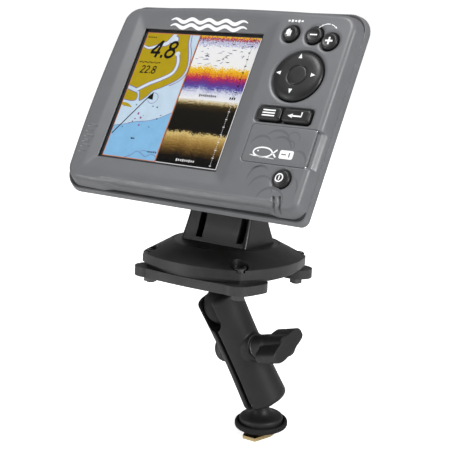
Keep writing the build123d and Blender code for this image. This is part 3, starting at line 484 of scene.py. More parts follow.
def make_front():
    inner = front_outline(EDGE_ROUND * 0.66)
    mesh_lines = []
    for low, high, extra in ((-69.2, 111.2, (-WINDOW, WINDOW)), (-67.4, 64.4, (-WINDOW, WINDOW))):
        lines = list(np.arange(low, high, 0.5))
        lines = [x for x in lines if min(abs(x - e) for e in extra) > 0.26] + list(extra)
        mesh_lines.append(np.array(sorted(lines)))
    us, vs = mesh_lines
    gu, gv = np.meshgrid(us, vs)
    flat = np.stack([gu.ravel(), gv.ravel()], 1)
    depth, near = signed(flat, inner)
    outside = depth < 0.06
    flat[outside] = near[outside]
    heights = front_height(flat[:, 0], flat[:, 1])
    nu, nv = len(us), len(vs)
    faces = []
    for j in range(nv - 1):
        for i in range(nu - 1):
            ring = (j * nu + i, j * nu + i + 1, (j + 1) * nu + i + 1, (j + 1) * nu + i)
            if all(outside[k] for k in ring):
                continue
            if abs(us[i] + us[i + 1]) / 2 < WINDOW and abs(vs[j] + vs[j + 1]) / 2 < WINDOW:
                continue
            faces.append(ring)
    bm = bmesh.new()
    verts = [bm.verts.new((x, y, z)) for (x, y), z in zip(flat, heights)]
    bm.verts.ensure_lookup_table()
    for f in faces:
        bm.faces.new([verts[k] for k in f])
    bmesh.ops.delete(bm, geom=[v for v in bm.verts if not v.link_faces], context="VERTS")
    bmesh.ops.remove_doubles(bm, verts=bm.verts, dist=0.02)
    bmesh.ops.dissolve_degenerate(bm, dist=0.005, edges=bm.edges)
    # Rings down the rounded edge and the flared side, from the face's own border.
    border = [e for e in bm.edges if e.is_boundary]
    window = [e for e in border if all(abs(v.co.x) < 50 and abs(v.co.y) < 50 for v in e.verts)]
    border = [e for e in border if e not in set(window)]
    slope = math.atan2(FLARE, FACE - SEAM)
    turn = math.pi / 2 - slope
    profile = []
    for k in range(1, 9):
        a = turn * k / 8
        profile.append((EDGE_ROUND * math.sin(a), EDGE_ROUND * (1 - math.cos(a))))
    last = profile[-1]
    fall = FACE - SEAM
    side = (FLARE + EDGE_ROUND * 0.66, fall)
    for k in range(1, 5):
        profile.append((last[0] + (side[0] - last[0]) * k / 4, last[1] + (side[1] - last[1]) * k / 4))
    profile.append((side[0] - 0.5, fall + 0.25))
    profile.append((side[0] - 2.2, fall + 0.25))
    full = np.array(front_outline(0.0))
    ring_verts = {}
    for e in border:
        for v in e.verts:
            ring_verts.setdefault(v, None)
    tilt = {}
    outline = np.array(inner)
    out = np.array(normals(inner))
    for v in ring_verts:
        d = np.hypot(outline[:, 0] - v.co.x, outline[:, 1] - v.co.y)
        order = np.argsort(d)[:2]
        weight = 1 / (d[order] + 1e-3)
        n = (out[order] * weight[:, None]).sum(0)
        tilt[v] = n / np.hypot(*n)
    rings = {v: [v] for v in ring_verts}
    for v, n in tilt.items():
        u0, v0, w0 = v.co
        chin = float(step((u0 + 36) / 10) * step((97 - u0) / 10)) if n[1] < -0.7 else 0.0
        for reach, down in profile:
            back = chin * 2.0 * min(1.0, down / 3.0) * (1 - 0.35 * min(1.0, max(0.0, down - 4) / 4))
            x = u0 + n[0] * (reach - back)
            y = v0 + n[1] * (reach - back)
            rings[v].append(bm.verts.new((x, y, w0 - down if down < 4 else FACE - down)))
    for e in border:
        face = e.link_faces[0]
        a, b = e.verts
        order = [l.vert for l in face.loops]
        if order[(order.index(a) + 1) % len(order)] is b:
            a, b = b, a
        for k in range(len(profile)):
            bm.faces.new((rings[a][k], rings[b][k], rings[b][k + 1], rings[a][k + 1]))
    # Window edge, folded back to the glass.
    fold = {}
    for e in window:
        for v in e.verts:
            fold.setdefault(v, bm.verts.new((v.co.x, v.co.y, 1.35)))
    for e in window:
        face = e.link_faces[0]
        a, b = e.verts
        order = [l.vert for l in face.loops]
        if order[(order.index(a) + 1) % len(order)] is b:
            a, b = b, a
        bm.faces.new((a, b, fold[b], fold[a]))
    bmesh.ops.recalc_face_normals(bm, faces=bm.faces)
    mesh = bpy.data.meshes.new("front_face")
    bm.transform(HEAD)
    bm.to_mesh(mesh)
    bm.free()
    mesh.shade_smooth()
    made = bpy.data.objects.new("front_face", mesh)
    bpy.context.scene.collection.objects.link(made)
    mesh.materials.append(LOOKS["grey_shell"])
    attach(made, "head")
    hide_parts("front_bezel")
    return made


make_front()

# --- Card door
DOOR_EDGE = [(0.35, 3.25), (0.0, 3.6), (0.0, 4.55), (0.12, 4.83), (0.4, 4.98), (0.9, 5.0), (2.2, 5.0)]
puck("card_door_face", rounded(62.75, 107.0, -38.25, -14.25, 2.4), DOOR_EDGE, HEAD, "grey_shell",
     "card_door", ("card_door",))

# --- Keys
KEY_PROFILE = [(5.0, 0.6), (5.0, 4.9), (4.85, 5.5), (4.5, 5.98), (4.0, 6.22), (3.6, 6.26), (3.3, 6.12),
    (2.9, 5.98),
               (1.6, 5.94), (0.4, 5.93)]
for label, at, radius, body in (
    ("pages_key", (67.5, 46.5), 5.0, "pages_button"),
    ("zoom_out_key", (84.0, 46.0), 5.4, "zoom_out_button"),
    ("zoom_in_key", (95.5, 42.5), 5.4, "zoom_in_button"),
    ("power_key", (94.0, -46.5), 5.6, "power_button"),
):
    grown = [(r + radius - 5.0 if r > 3.4 else r * radius / 5.0, z) for r, z in KEY_PROFILE]
    lathe(label, grown, HEAD, "key_rubber", body, (body,), 72, at)

PAD_AT = (82.0, 18.8)
PAD_PROFILE = [
    (16.3, 1.0), (16.3, 3.9), (16.15, 4.5), (15.7, 5.05), (14.9, 5.55), (13.9, 5.95), (12.8, 6.15),
    (11.0, 6.25),
    (7.2, 6.27), (6.75, 6.24), (6.55, 6.0), (6.42, 5.75), (6.22, 5.75), (6.1, 6.0), (5.9, 6.22), (5.4, 6.26),
    (2.5, 6.22), (0.3, 6.2),
]
lathe("pad_face", PAD_PROFILE, HEAD, "key_rubber", "direction_pad", ("direction_pad",), 128, PAD_AT)

BAR_EDGE = [(0.0, 0.6), (0.0, 4.7), (0.18, 5.4), (0.6, 5.95), (1.1, 6.2), (1.7, 6.28), (2.2, 6.25)]
puck("menu_key", rounded(63.6, 80.25, -11.4, -2.6, 2.3), BAR_EDGE, HEAD, "key_rubber", "menu_button",
    ("menu_button",))
puck("enter_key", rounded(80.75, 99.9, -11.4, -2.6, 2.3), BAR_EDGE, HEAD, "key_rubber", "enter_button",
    ("enter_button",))

# --- Printed legends, all plain symbols


def triangle(cx, cy, size, turn):
    a = math.radians(turn)
    raw = ((size, 0), (-size * 0.75, size * 0.72), (-size * 0.75, -size * 0.72))
    return [(cx + x * math.cos(a) - y * math.sin(a), cy + x * math.sin(a) + y * math.cos(a)) for x, y in raw]


def bar(cx, cy, wide, high):
    return [
        (cx - wide / 2, cy - high / 2),
        (cx + wide / 2, cy - high / 2),
        (cx + wide / 2, cy + high / 2),
        (cx - wide / 2, cy + high / 2),
    ]


pad_x, pad_y = PAD_AT
decal("pad_arrows", [triangle(80.6, 31.1, 1.75, 90), triangle(92.7, 19.4, 1.75, 0),
    triangle(81.0, 8.2, 1.75, -90),
                     triangle(69.3, 19.5, 1.75, 180)], 6.3, "print_white", "direction_pad")
decal("minus_mark", [bar(84.0, 46.0, 4.9, 0.85)], 6.05, "print_white", "zoom_out_button")
decal("plus_mark", [bar(95.5, 42.5, 4.8, 1.15), bar(95.5, 44.0, 1.15, 1.85), bar(95.5, 41.0, 1.15, 1.85)],
    6.05,
      "print_white", "zoom_in_button")
decal("page_mark", [bar(65.9, 47.3, 2.3, 3.7), bar(67.75, 46.2, 1.0, 3.7), bar(67.0, 44.8, 2.2, 0.9)], 6.05,
      "print_white", "pages_button")
decal("menu_lines", [bar(71.9, -5.3, 8.6, 0.85), bar(71.9, -7.0, 8.6, 0.85), bar(71.9, -8.7, 8.6, 0.85)],
    6.33,
      "print_white", "menu_button")
decal("enter_arrow", [strip([(94.2, -4.9), (94.2, -7.6), (87.6, -7.6)], 0.95),
    triangle(86.9, -7.6, 1.9, 180)], 6.33,
      "print_white", "enter_button")
decal("power_mark", [strip(arc(92.9, -46.2, 2.35, 2.35, 0, 360, 40), 0.85), bar(92.9, -46.2, 0.8, 2.5)], 6.08,
      "print_white", "power_button")
decal("zoom_arc", [strip(arc(91.4, 46.4, 7.6, 7.6, 50, 76, 8), 0.5),
    strip(arc(91.4, 46.4, 7.6, 7.6, 100, 140, 10), 0.5),
                   triangle(87.1, 52.6, 0.9, 215), triangle(97.1, 51.7, 0.9, -38),
                       bar(91.2, 54.0, 2.6, 0.6)], 5.03,
      "print_white", "head")
decal("pages_ticks", [bar(63.6 + 2.3 * k, 55.2, 1.35, 1.7 if k % 2 else 1.1) for k in range(5)], 5.03,
      "print_white", "head")

# Door symbol: a plain fish and a plate with two bars.
fish = [strip(arc(76.0, -31.6, 6.4, 3.0, 25, 335, 30), [0.9] * 31),
        strip([(81.6, -30.2), (85.4, -34.0)], 1.0), strip([(81.6, -33.0), (85.4, -29.2)], 1.0),
        strip([(67.8, -33.9), (71.4, -34.3), (84.8, -35.0)], [0.3, 0.7, 0.3]), bar(72.6, -31.0, 0.9, 0.9)]
decal("door_fish", fish, 5.04, "print_white", "card_door")
plate = rounded(87.4, 96.6, -34.3, -28.9, 1.1, 4)
decal("door_plate", [plate], 5.03, "print_white", "card_door")
decal("door_plate_bars", [bar(90.3, -31.6, 3.2, 0.7), bar(94.0, -31.6, 0.8, 2.8)], 5.065, "print_dark",
    "card_door")


def crescent(cx, cy, rx, ry, start, end, thick, count=22):
    widths = [0.12 + thick * math.sin(math.pi * i / count) ** 0.8 for i in range(count + 1)]
    return strip(arc(cx, cy, rx, ry, start, end, count), widths)


decal("door_ripples", [
    crescent(73.2, -29.0, 7.6, 7.6, 168, 38, 1.5), crescent(82.6, -24.6, 8.6, 7.6, 150, 20, 1.7),
    crescent(86.0, -30.4, 8.2, 9.6, 128, 12, 1.6), crescent(93.2, -21.2, 4.2, 4.0, 170, -20, 0.5),
    crescent(99.6, -36.6, 6.4, 8.0, 110, 8, 1.5), crescent(91.4, -26.0, 4.0, 3.4, 100, -30, 0.7),
], 5.015, "print_dark", "card_door")
decal("face_ripples", [
    crescent(79.0, -51.0, 8.0, 11.2, 172, 62, 1.3), crescent(82.6, -55.6, 8.6, 9.4, 168, 58, 1.4),
    crescent(90.6, -61.6, 9.2, 9.2, 172, 10, 1.6), crescent(78.4, -46.0, 7.0, 5.6, 160, 40, 0.8),
    crescent(98.4, -52.0, 7.4, 8.6, 58, -14, 1.0), strip([(90.0, -53.0), (90.6, -55.4)], 0.5),
], 5.015, "print_dark", "head")


def on_slope(v):
    """Height of the top of the frame at an upward position."""
    return FACE - 2.7 * (57.3 - v) / 10.4


def ribbon(low, high, base, rise, waves, thick, count=150):
    """A bold wave on the sloping top of the frame: points with their own heights."""
    path = []
    for i in range(count + 1):
        t = i / count
        path.append((low + (high - low) * t, base + rise * math.sin(2 * math.pi * waves * t)))
    widths = [thick * min(1.0, 0.25 + 6 * min(i, count - i) / count) for i in range(count + 1)]
    points, faces = strip(path, widths)
    return [(x, y, on_slope(y) + 0.045) for x, y in points], faces


wave_points, wave_faces = [], []
for base, thick in ((52.9, 2.3), (49.2, 2.3)):
    own, own_faces = ribbon(-26.5, 33.5, base, 1.05, 4.5, thick)
    wave_faces += [tuple(i + len(wave_points) for i in f) for f in own_faces]
    wave_points += own
waves = piece("brand_free_waves", wave_points, wave_faces, HEAD, "print_white", "head", smooth=False)
waves.modifiers.new("thick", "SOLIDIFY").thickness = 0.03 * MM

# --- Lit display
LIT = 44.9


def lit(name, color, glow=0.62, drift=0.05, rough=0.3):
    """A colour shown on the display, with slight unevenness in its light."""
    s = Shader(name)
    shade = s.mix(s.span(s.noise(160.0), 0.3, 0.7, 0.0, 1.0), tuple(c * (1 - drift) for c in color),
                  tuple(min(1, c * (1 + drift)) for c in color))
    s.link(s.mix(0.75, shade, (0, 0, 0)), s.bsdf.inputs["Base Color"])
    s.link(shade, s.bsdf.inputs["Emission Color"])
    s.bsdf.inputs["Emission Strength"].default_value = glow
    s.bsdf.inputs["Roughness"].default_value = rough
    s.bsdf.inputs["Specular IOR Level"].default_value = 0.12
    s.bump(s.noise(4200.0), 0.1, 0.01 * MM)
    return s.material


def srgb(r, g, b):
    return tuple((c / 255 / 12.92) if c < 11 else ((c / 255 + 0.055) / 1.055) ** 2.4 for c in (r, g, b))


SHOW = {
    "land": lit("lit_land", srgb(188, 163, 22)),
    "shoal": lit("lit_shoal", srgb(206, 228, 246)),
    "deep": lit("lit_deep", srgb(142, 198, 240)),
    "channel": lit("lit_channel", srgb(226, 238, 250)),
    "bank": lit("lit_bank", srgb(120, 112, 168)),
    "ink": lit("lit_ink", srgb(14, 14, 18), drift=0.3),
    "frame": lit("lit_frame", srgb(226, 140, 84)),
    "white": lit("lit_white", srgb(248, 248, 250)),
    "mark": lit("lit_mark", srgb(150, 60, 140)),
}


def chart_point(x, y):
    return (x - 4.35, y + 1.95)


def shown(name, look, shapes, layer):
    """A flat part of the picture, in the layer given, cut to the lit square."""
    made = []
    for shape in shapes:
        if isinstance(shape, tuple):
            made.append(([chart_point(*p) for p in shape[0]], shape[1]))
        else:
            made.append([chart_point(*p) for p in shape])
    clipped = []
    for shape in made:
        if isinstance(shape, tuple):
            points = [(min(max(x, -LIT), LIT), min(max(y, -LIT), LIT)) for x, y in shape[0]]
            clipped.append((points, shape[1]))
        else:
            clipped.append([(min(max(x, -LIT), LIT), min(max(y, -LIT), LIT)) for x, y in shape])
    return decal("lit_" + name, clipped, 0.12 + 0.012 * layer, SHOW[look], "head", thick=0)


def smooth_path(points, count=10):
    """A smooth line through given points."""
    made = []
    full = [points[0], *points, points[-1]]
    for k in range(1, len(full) - 2):
        p0, p1, p2, p3 = (Vector(p) for p in full[k - 1:k + 3])
        for i in range(count):
            t = i / count
            made.append(tuple(0.5 * (2 * p1 + (p2 - p0) * t + (2 * p0 - 5 * p1 + 4 * p2 - p3) * t**2
                                     + (3 * p1 - p0 - 3 * p2 + p3) * t**3)))
    made.append(tuple(points[-1]))
    return made


SPLIT = 2.3
shown("shoal", "shoal", [[(-40.6, -46.9), (SPLIT, -46.9), (SPLIT, 43), (-40.6, 43)]], 0)
depth_edge = smooth_path([(-40.6, -25.5), (-33, -24), (-24, -21.5), (-14, -19.8), (-6, -17), (SPLIT, -12.5)])
shown("deep", "deep", [[(-40.6, -46.9), (SPLIT, -46.9), *reversed(depth_edge)]], 1)
shown("depth_line", "bank", [strip(depth_edge, 0.35)], 2)
coast = smooth_path([(-6.0, 43), (-5.0, 37), (-2.2, 30), (0.2, 23), (0.6, 17), (-1.8, 11.5), (-8, 7),
    (-14, 3.6), (-19.5, 1),
                     (-22.5, -3), (-27.0, -6.6), (-28.6, -3), (-30.5, 0.8), (-35, 2.6), (-40.6, 4.0)])
shown("land_main", "land", [[*coast, (-40.6, 43)]], 3)
spit = smooth_path([(-40.6, 1.2), (-35, -0.4), (-31.2, -1.6), (-30.0, -5.5), (-33, -7.2), (-40.6, -6.6)])
shown("land_spit", "land", [[*spit]], 3)
shown("land_tongue", "land", [[*smooth_path([(-40.6, -8.6), (-36, -9.0), (-31.5, -11.6), (-36, -11.4),
    (-40.6, -10.6)])]], 3)
shown("coast_line", "bank", [strip(coast, 0.5), strip(spit, 0.45)], 4)
outer = smooth_path([(-4.4, 43), (-2.8, 36), (0.2, 29.5), (1.9, 22), (1.9, 15), (-1.4, 9.6), (-8, 5.4)])
shown("coast_band", "mark", [strip(outer, 0.45)], 4)
canal = smooth_path([(-32.4, 0.9), (-25, 5.6), (-16, 10.0), (-9.6, 14.0), (-7.6, 18.0), (-7.8, 23.0),
    (-10.6, 29.4)])
shown("canal_bank", "bank", [strip(canal, 2.9)], 5)
shown("canal", "channel", [strip(canal, 2.0)], 6)
creek = smooth_path([(-40.6, 33.2), (-36, 31.6), (-31, 32.6), (-26, 34.6), (-21.6, 36.0), (-17.4, 42.9)])
shown("creek_bank", "bank", [strip(creek, [1.4 + 2.2 * min(1, i / 40) for i in range(51)])], 5)
shown("creek", "channel", [strip(creek, [0.8 + 2.0 * min(1, i / 40) for i in range(51)])], 6)
pool = arc(-17.4, 38.6, 3.4, 2.6, 0, 360, 24)
shown("pool_bank", "bank", [[(x, y) for x, y in arc(-17.4, 38.6, 4.0, 3.1, 0, 350, 24)]], 5)
shown("pool", "channel", [pool], 6)
shown("pond", "channel", [arc(-10.4, 28.6, 1.9, 1.6, 0, 350, 18)], 6)
track = [(-39.6, -31.2), (-19.4, -1.4)]
shown("heading", "ink", [strip(track, 0.75), triangle(-18.6, -2.6, 3.1, 80)], 8)
shown("orbit", "bank", [strip(arc(-17.0, -4.0, 4.0, 3.8, -150, 120, 20), 0.3)], 7)
rng = random.Random(5)
soundings = []
for k in range(26):
    x, y = rng.uniform(-38, -4), rng.uniform(-27, -9)
    if abs((y + 31.2) - (x + 39.6) * 1.475) > 2.5 and k % 2:
        soundings.append(bar(x, y, rng.uniform(0.5, 1.2), rng.uniform(0.4, 0.9)))
shown("soundings", "ink", soundings[:9] + [bar(-22, -33, 1.6, 1.0), bar(-20.3, -33, 0.9, 1.0),
    bar(-8, -18, 1.2, 0.8)], 7)
shown("buoys", "mark", [bar(-24.0, -15.6, 1.3, 1.5), bar(-21.0, -18.3, 1.4, 1.3), bar(-25.2, -19.4, 1.0, 1.0),
                        bar(-28.6, -22.8, 1.0, 0.8), bar(-20.3, -23.6, 1.4, 0.9)], 7)
shelf = smooth_path([(-23, -46.6), (-18, -44.4), (-14.5, -41.4), (-10, -42.6), (-6.5, -44.2), (-2, -42.2),
    (SPLIT, -43.6)])
shown("shelf", "bank", [strip(shelf, 0.35), strip([(-12, -41.2), (-8.6, -40.2), (-5, -41.0), (0.5, -39.9)],
    0.3)], 7)
shown("small_marks", "ink", [bar(-38.4 + 1.35 * k, 21.2 + 0.35 * math.sin(k * 2.3), 0.85,
    0.95) for k in range(13)]
      + [bar(-38.6 + 1.5 * k, 39.6, 0.9, 0.9) for k in range(5)] + [bar(-5.4 + 1.5 * k, -40.8, 0.9,
          0.9) for k in range(5)], 7)
border = [(-40.5, -46.75), (SPLIT, -46.75), (SPLIT, 42.85), (-40.5, 42.85), (-40.5, -46.75)]
shown("border", "frame", [strip(border[k:k + 2], 0.7) for k in range(4)], 9)
shown("right_rules", "white", [bar(26, -1.7, 46, 1.0), bar(49.0, -2, 0.6, 89.4), bar(26, -46.6, 46, 0.45)], 9)


def stroke_digits(text, left, low, high, slant, weight):
    """Bold slanted digits made of strokes, on a cell one unit high and 0.62 wide."""
    tall = high - low
    forms = {
        "4": [[(0.44, 0.0), (0.44, 1.0)], [(0.44, 0.97), (0.04, 0.34)], [(0.0, 0.28), (0.62, 0.28)]],
        "8": [arc(0.3, 0.74, 0.21, 0.2, 0, 360, 26), arc(0.3, 0.28, 0.25, 0.23, 0, 360, 26)],
        "2": [arc(0.29, 0.72, 0.22, 0.22, 165, -30, 16) + [(0.06, 0.07)], [(0.02, 0.07), (0.56, 0.07)]],
        ".": [[(0.06, 0.08), (0.2, 0.08)]],
    }
    shapes, x0 = [], left
    for letter in text:
        for path in forms[letter]:
            placed = [(x0 + (x + slant * y) * tall, low + y * tall) for x, y in path]
            shapes.append(strip(placed, weight * tall * (1.15 if letter == "." else 1.0)))
        x0 += tall * (0.27 if letter == "." else 0.68)
    return shapes


shown("depth_digits", "ink", stroke_digits("4.8", -33.4, 25.0, 37.6, 0.2, 0.15), 8)
shown("speed_digits", "ink", stroke_digits("22.8", -35.8, 13.2, 18.8, 0.1, 0.15), 8)


def field(name, outline, layer, stops, speckle, grain, mottle=0.0, glow=0.62):
    """A sounder panel: a colour scale read down the panel, broken up by fine speckle and a wavy bed."""
    s = Shader(name)
    low, high = outline[0][1], outline[2][1]
    uv = s.node("ShaderNodeUVMap", uv_map="place").outputs[0]
    parts = s.node("ShaderNodeSeparateXYZ")
    s.link(uv, parts.inputs[0])
    across, down = parts.outputs[0], parts.outputs[1]
    slow = s.noise(5.0, 3.0, 0.6, coords=s.combine(across, 0.0))
    fine = s.noise(grain, 2.0, 0.75, coords=uv)
    wave = s.math("MULTIPLY", s.span(slow, 0.3, 0.7, -0.035, 0.035), s.span(down, 0.15, 0.5, 0.0, 1.0))
    place = s.math("ADD", down, wave)
    place = s.math("ADD", place, s.span(fine, 0.3, 0.7, -speckle, speckle))
    shade = s.ramp(place, stops)
    if mottle:
        spots = s.span(s.noise(grain * 1.3, 2.0, 0.6, coords=uv), 0.44, 0.58, 0.0, 1.0)
        gate = s.math("MULTIPLY", spots, s.span(down, 0.5, 0.85, 0.15, mottle))
        shade = s.mix(gate, shade, tuple(c * 0.06 for c in srgb(60, 44, 18)))
    s.link(s.mix(0.75, shade, (0, 0, 0)), s.bsdf.inputs["Base Color"])
    s.link(shade, s.bsdf.inputs["Emission Color"])
    s.bsdf.inputs["Emission Strength"].default_value = glow
    s.bsdf.inputs["Roughness"].default_value = 0.3
    s.bsdf.inputs["Specular IOR Level"].default_value = 0.12
    corners = [chart_point(*p) for p in outline]
    points = [(x, y, 0.12 + 0.012 * layer) for x, y in corners]
    made = piece(name, points, [(0, 1, 2, 3)], HEAD, s.material, "head", smooth=False)
    layer_uv = made.data.uv_layers.new(name="place")
    wide = outline[1][0] - outline[0][0]
    for loop, uv_at in zip(made.data.loops, ((0, 1), (1, 1), (1, 0), (0, 0))):
        corner = loop.vertex_index
        layer_uv.data[loop.index].uv = (((0, 1), (1, 1), (1, 0), (0, 0))[corner][0] * wide / (high - low),
                                        ((0, 1), (1, 1), (1, 0), (0, 0))[corner][1])
    return made


field("lit_sounder_top", [(3.1, -1.3), (48.8, -1.3), (48.8, 42.9), (3.1, 42.9)], 1, [
    (0.0, srgb(250, 214, 60)), (0.035, srgb(226, 60, 40)), (0.065, srgb(86, 40, 130)),
    (0.10, srgb(240, 240, 250)),
    (0.13, srgb(150, 160, 215)), (0.16, srgb(250, 250, 252)), (0.50, srgb(252, 252, 250)),
    (0.515, srgb(250, 212, 40)),
    (0.60, srgb(240, 160, 30)), (0.66, srgb(205, 45, 70)), (0.73, srgb(120, 45, 130)),
    (0.82, srgb(80, 78, 170)),
    (0.90, srgb(225, 228, 245)), (1.0, srgb(250, 250, 252))], 0.06, 42.0)
field("lit_sounder_low", [(3.1, -46.6), (48.8, -46.6), (48.8, -2.2), (3.1, -2.2)], 1, [
    (0.0, srgb(250, 246, 226)), (0.035, srgb(214, 190, 132)), (0.07, srgb(66, 52, 20)),
    (0.16, srgb(22, 18, 9)),
    (0.46, srgb(16, 13, 8)), (0.505, srgb(38, 28, 12)), (0.52, srgb(240, 214, 140)),
    (0.60, srgb(205, 168, 92)),
    (0.70, srgb(160, 122, 58)), (0.80, srgb(98, 72, 32)), (0.87, srgb(12, 10, 8)), (1.0, srgb(6, 6, 6))],
    0.045, 44.0, mottle=0.95)
arches = []
rng = random.Random(11)
for k in range(46):
    x, y = rng.uniform(4, 40), rng.uniform(21.5, 38.0)
    size = rng.uniform(1.2, 4.2)
    arches.append(strip([(x, y), (x + size * 0.5, y + 0.5 * rng.uniform(0.2, 1.2)),
        (x + size, y + rng.uniform(-0.4, 1.6))],
                        [0.15, rng.uniform(0.3, 0.65), 0.12]))
shown("arches", "bank", arches[:26], 3)
shown("arches_dark", "ink", arches[26:], 4)
scale_marks = [bar(44.0 + rng.uniform(-0.3, 0.3), 41.5 - 1.15 * k, 0.35 if k % 4 else 1.5,
    0.6 if k % 4 else 0.8) for k in range(36)]
shown("scale_top", "ink", scale_marks, 5)
shown("scale_low", "white", [bar(x, y - 44.6, w, h) for (x, y, w, h) in
                             [(44.0, 41.5 - 1.3 * k, 0.32 if k % 4 else 1.4, 0.6) for k in range(33)]], 5)
scribble = [bar(18.2 + 1.5 * k, 1.0, 0.9, 1.3 if k % 3 else 1.9) for k in range(9)] + [bar(41.5 + 1.6 * k,
    0.6, 1.0, 1.7) for k in range(3)]
shown("top_note", "ink", scribble, 5)
shown("low_note", "white", [bar(18.2 + 1.6 * k, -43.4, 0.9, 1.2 if k % 3 else 1.8) for k in range(9)], 5)

# --- Clamp arm
def turned(profile, count=96):
    """A closed bmesh solid turned about Z."""
    bm = bmesh.new()
    rings = []
    for radius, height in profile:
        if radius < 1e-6:
            rings.append([bm.verts.new((0, 0, height))])
            continue
        rings.append([bm.verts.new((radius * math.cos(2 * math.pi * i / count),
            radius * math.sin(2 * math.pi * i / count),
                                    height)) for i in range(count)])
    for a, b in zip(rings, rings[1:]):
        for i in range(count):
            j = (i + 1) % count
            if len(a) == 1:
                bm.faces.new((a[0], b[j], b[i]))
            elif len(b) == 1:
                bm.faces.new((a[i], a[j], b[0]))
            else:
                bm.faces.new((a[i], a[j], b[j], b[i]))
    bmesh.ops.recalc_face_normals(bm, faces=bm.faces)
    return bm


def prism(outline, low, high):
    """A closed bmesh solid pushed up from an outline."""
    bm = bmesh.new()
    bottom = [bm.verts.new((x, y, low)) for x, y in outline]
    top = [bm.verts.new((x, y, high)) for x, y in outline]
    bm.faces.new(tuple(reversed(bottom)))
    bm.faces.new(tuple(top))
    for i in range(len(outline)):
        j = (i + 1) % len(outline)
        bm.faces.new((bottom[i], bottom[j], top[j], top[i]))
    bmesh.ops.recalc_face_normals(bm, faces=bm.faces)
    return bm


def loose(bm, matrix=None):
    """A throwaway object that holds a solid while it is cut."""
    if matrix:
        bm.transform(matrix)
    mesh = bpy.data.meshes.new("loose")
    bm.to_mesh(mesh)
    bm.free()
    made = bpy.data.objects.new("loose", mesh)
    bpy.context.scene.collection.objects.link(made)
    return made


def settle(made):
    """Replace an object's mesh by its evaluated mesh."""
    bpy.context.view_layer.update()
    mesh = bpy.data.meshes.new_from_object(made.evaluated_get(bpy.context.evaluated_depsgraph_get()))
    made.modifiers.clear()
    old = made.data
    made.data = mesh
    bpy.data.meshes.remove(old)


def cut(target, cutter, operation="DIFFERENCE"):
    change = target.modifiers.new("cut", "BOOLEAN")
    change.object = cutter
    change.operation = operation
    change.solver = "EXACT"
    settle(target)
    bpy.data.objects.remove(cutter)


def soften(made, voxel, rounds):
    """Round every edge a little, as moulding does: a fine remesh, then smoothing."""
    remesh = made.modifiers.new("remesh", "REMESH")
    remesh.mode = "VOXEL"
    remesh.voxel_size = voxel
    remesh.use_smooth_shade = True
    ease = made.modifiers.new("ease", "SMOOTH")
    ease.iterations = rounds
    ease.factor = 0.5
    settle(made)


def keep(made, name, place, look, body, replaces=()):
    made.name = name
    made.data.name = name
    made.data.transform(place)
    made.data.materials.clear()
    made.data.materials.append(LOOKS[look])
    made.data.shade_smooth()
    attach(made, body)
    if replaces:
        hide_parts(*replaces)
    return made


SIDEWAYS = Matrix.Rotation(math.radians(90), 4, "Y")
ARM_MIDDLE = ARM_LENGTH / 2
MOUTH = 8.5
SOCKET = 12.85


def arm_shell(reach, recess):
    """One half of the arm, built on the +X side."""
    profile = [(0, -MOUTH), (12.2, -MOUTH)]
    for k in range(1, 8):
        a = math.radians(90 * k / 8)
        profile.append((12.2 + 3.0 * math.sin(a), -MOUTH + 3.0 - 3.0 * math.cos(a)))
    for k in range(13):
        t = k / 12
        profile.append((15.2 - 0.9 * math.sin(math.pi * t),
            -MOUTH + 3.0 + (ARM_LENGTH + 2 * MOUTH - 6.0) * t))
    for k in range(1, 8):
        a = math.radians(90 * k / 8)
        profile.append((12.2 + 3.0 * math.cos(a), ARM_LENGTH + MOUTH - 3.0 + 3.0 * math.sin(a)))
    profile += [(12.2, ARM_LENGTH + MOUTH), (0, ARM_LENGTH + MOUTH)]
    body = loose(turned(profile))
    boss = [(0, 0), (10.8, 0), (10.4, 12.0), (9.6, 14.4), (9.1, reach - 0.8), (8.6, reach)]
    boss += [(6.3, reach), (6.3, reach - recess), (0, reach - recess)] if recess else [(0, reach)]
    cut(body, loose(turned(boss, 64), Matrix.Translation((0, 0, ARM_MIDDLE)) @ SIDEWAYS), "UNION")
    for end, way in ((0, -1), (ARM_LENGTH, 1)):
        ball = [(SOCKET * math.sin(math.pi * k / 40),
            -SOCKET * math.cos(math.pi * k / 40)) for k in range(41)]
        ball[0], ball[-1] = (0, -SOCKET), (0, SOCKET)
        cut(body, loose(turned(ball, 80), Matrix.Translation((0, 0, end))))
        relief = [(0, 0), (5.9, 0), (12.9, 11.5), (0, 11.5)]
        flip = Matrix.Identity(4) if way > 0 else Matrix.Rotation(math.pi, 4, "X")
        cut(body, loose(turned(relief, 64), Matrix.Translation((0, 0, end)) @ flip))
    # The open slot in the rim, towards -Y, and the small one at the lower end.
    for low, half, foot in ((ARM_LENGTH - 6.5, 6.6, 1), (-4.0, 2.4, -1)):
        outline = []
        for k in range(17):
            a = math.pi * k / 16
            outline.append((half * math.cos(a), low - foot * half * math.sin(a)))
        far = ARM_LENGTH + 30 if foot > 0 else -30
        outline += [(-half, far), (half, far)]
        slot = prism(outline, 0.0, 26.0)
        cut(body, loose(slot, Matrix.Rotation(math.radians(90), 4, "X")))
    block = [(-40, -40), (1.6, -40), (1.6, 40), (-40, 40)]
    cut(body, loose(prism(block, -60, ARM_LENGTH + 60)))
    bore = [(0, -30), (3.3, -30), (3.3, 30), (0, 30)]
    cut(body, loose(turned(bore, 40), Matrix.Translation((0, 0, ARM_MIDDLE)) @ SIDEWAYS))
    soften(body, 0.5, 7)
    return body


back_shell = arm_shell(18.9, 3.4)
back_shell.data.transform(Matrix.Diagonal((-1, 1, 1, 1)))
back_shell.data.flip_normals()
keep(arm_shell(16.2, 0), "arm_front_shell", ARM, "moulded_black", "arm_front", ("arm_half_front",))
keep(back_shell, "arm_back_shell", ARM, "moulded_black", "arm", ("arm_half_back",))


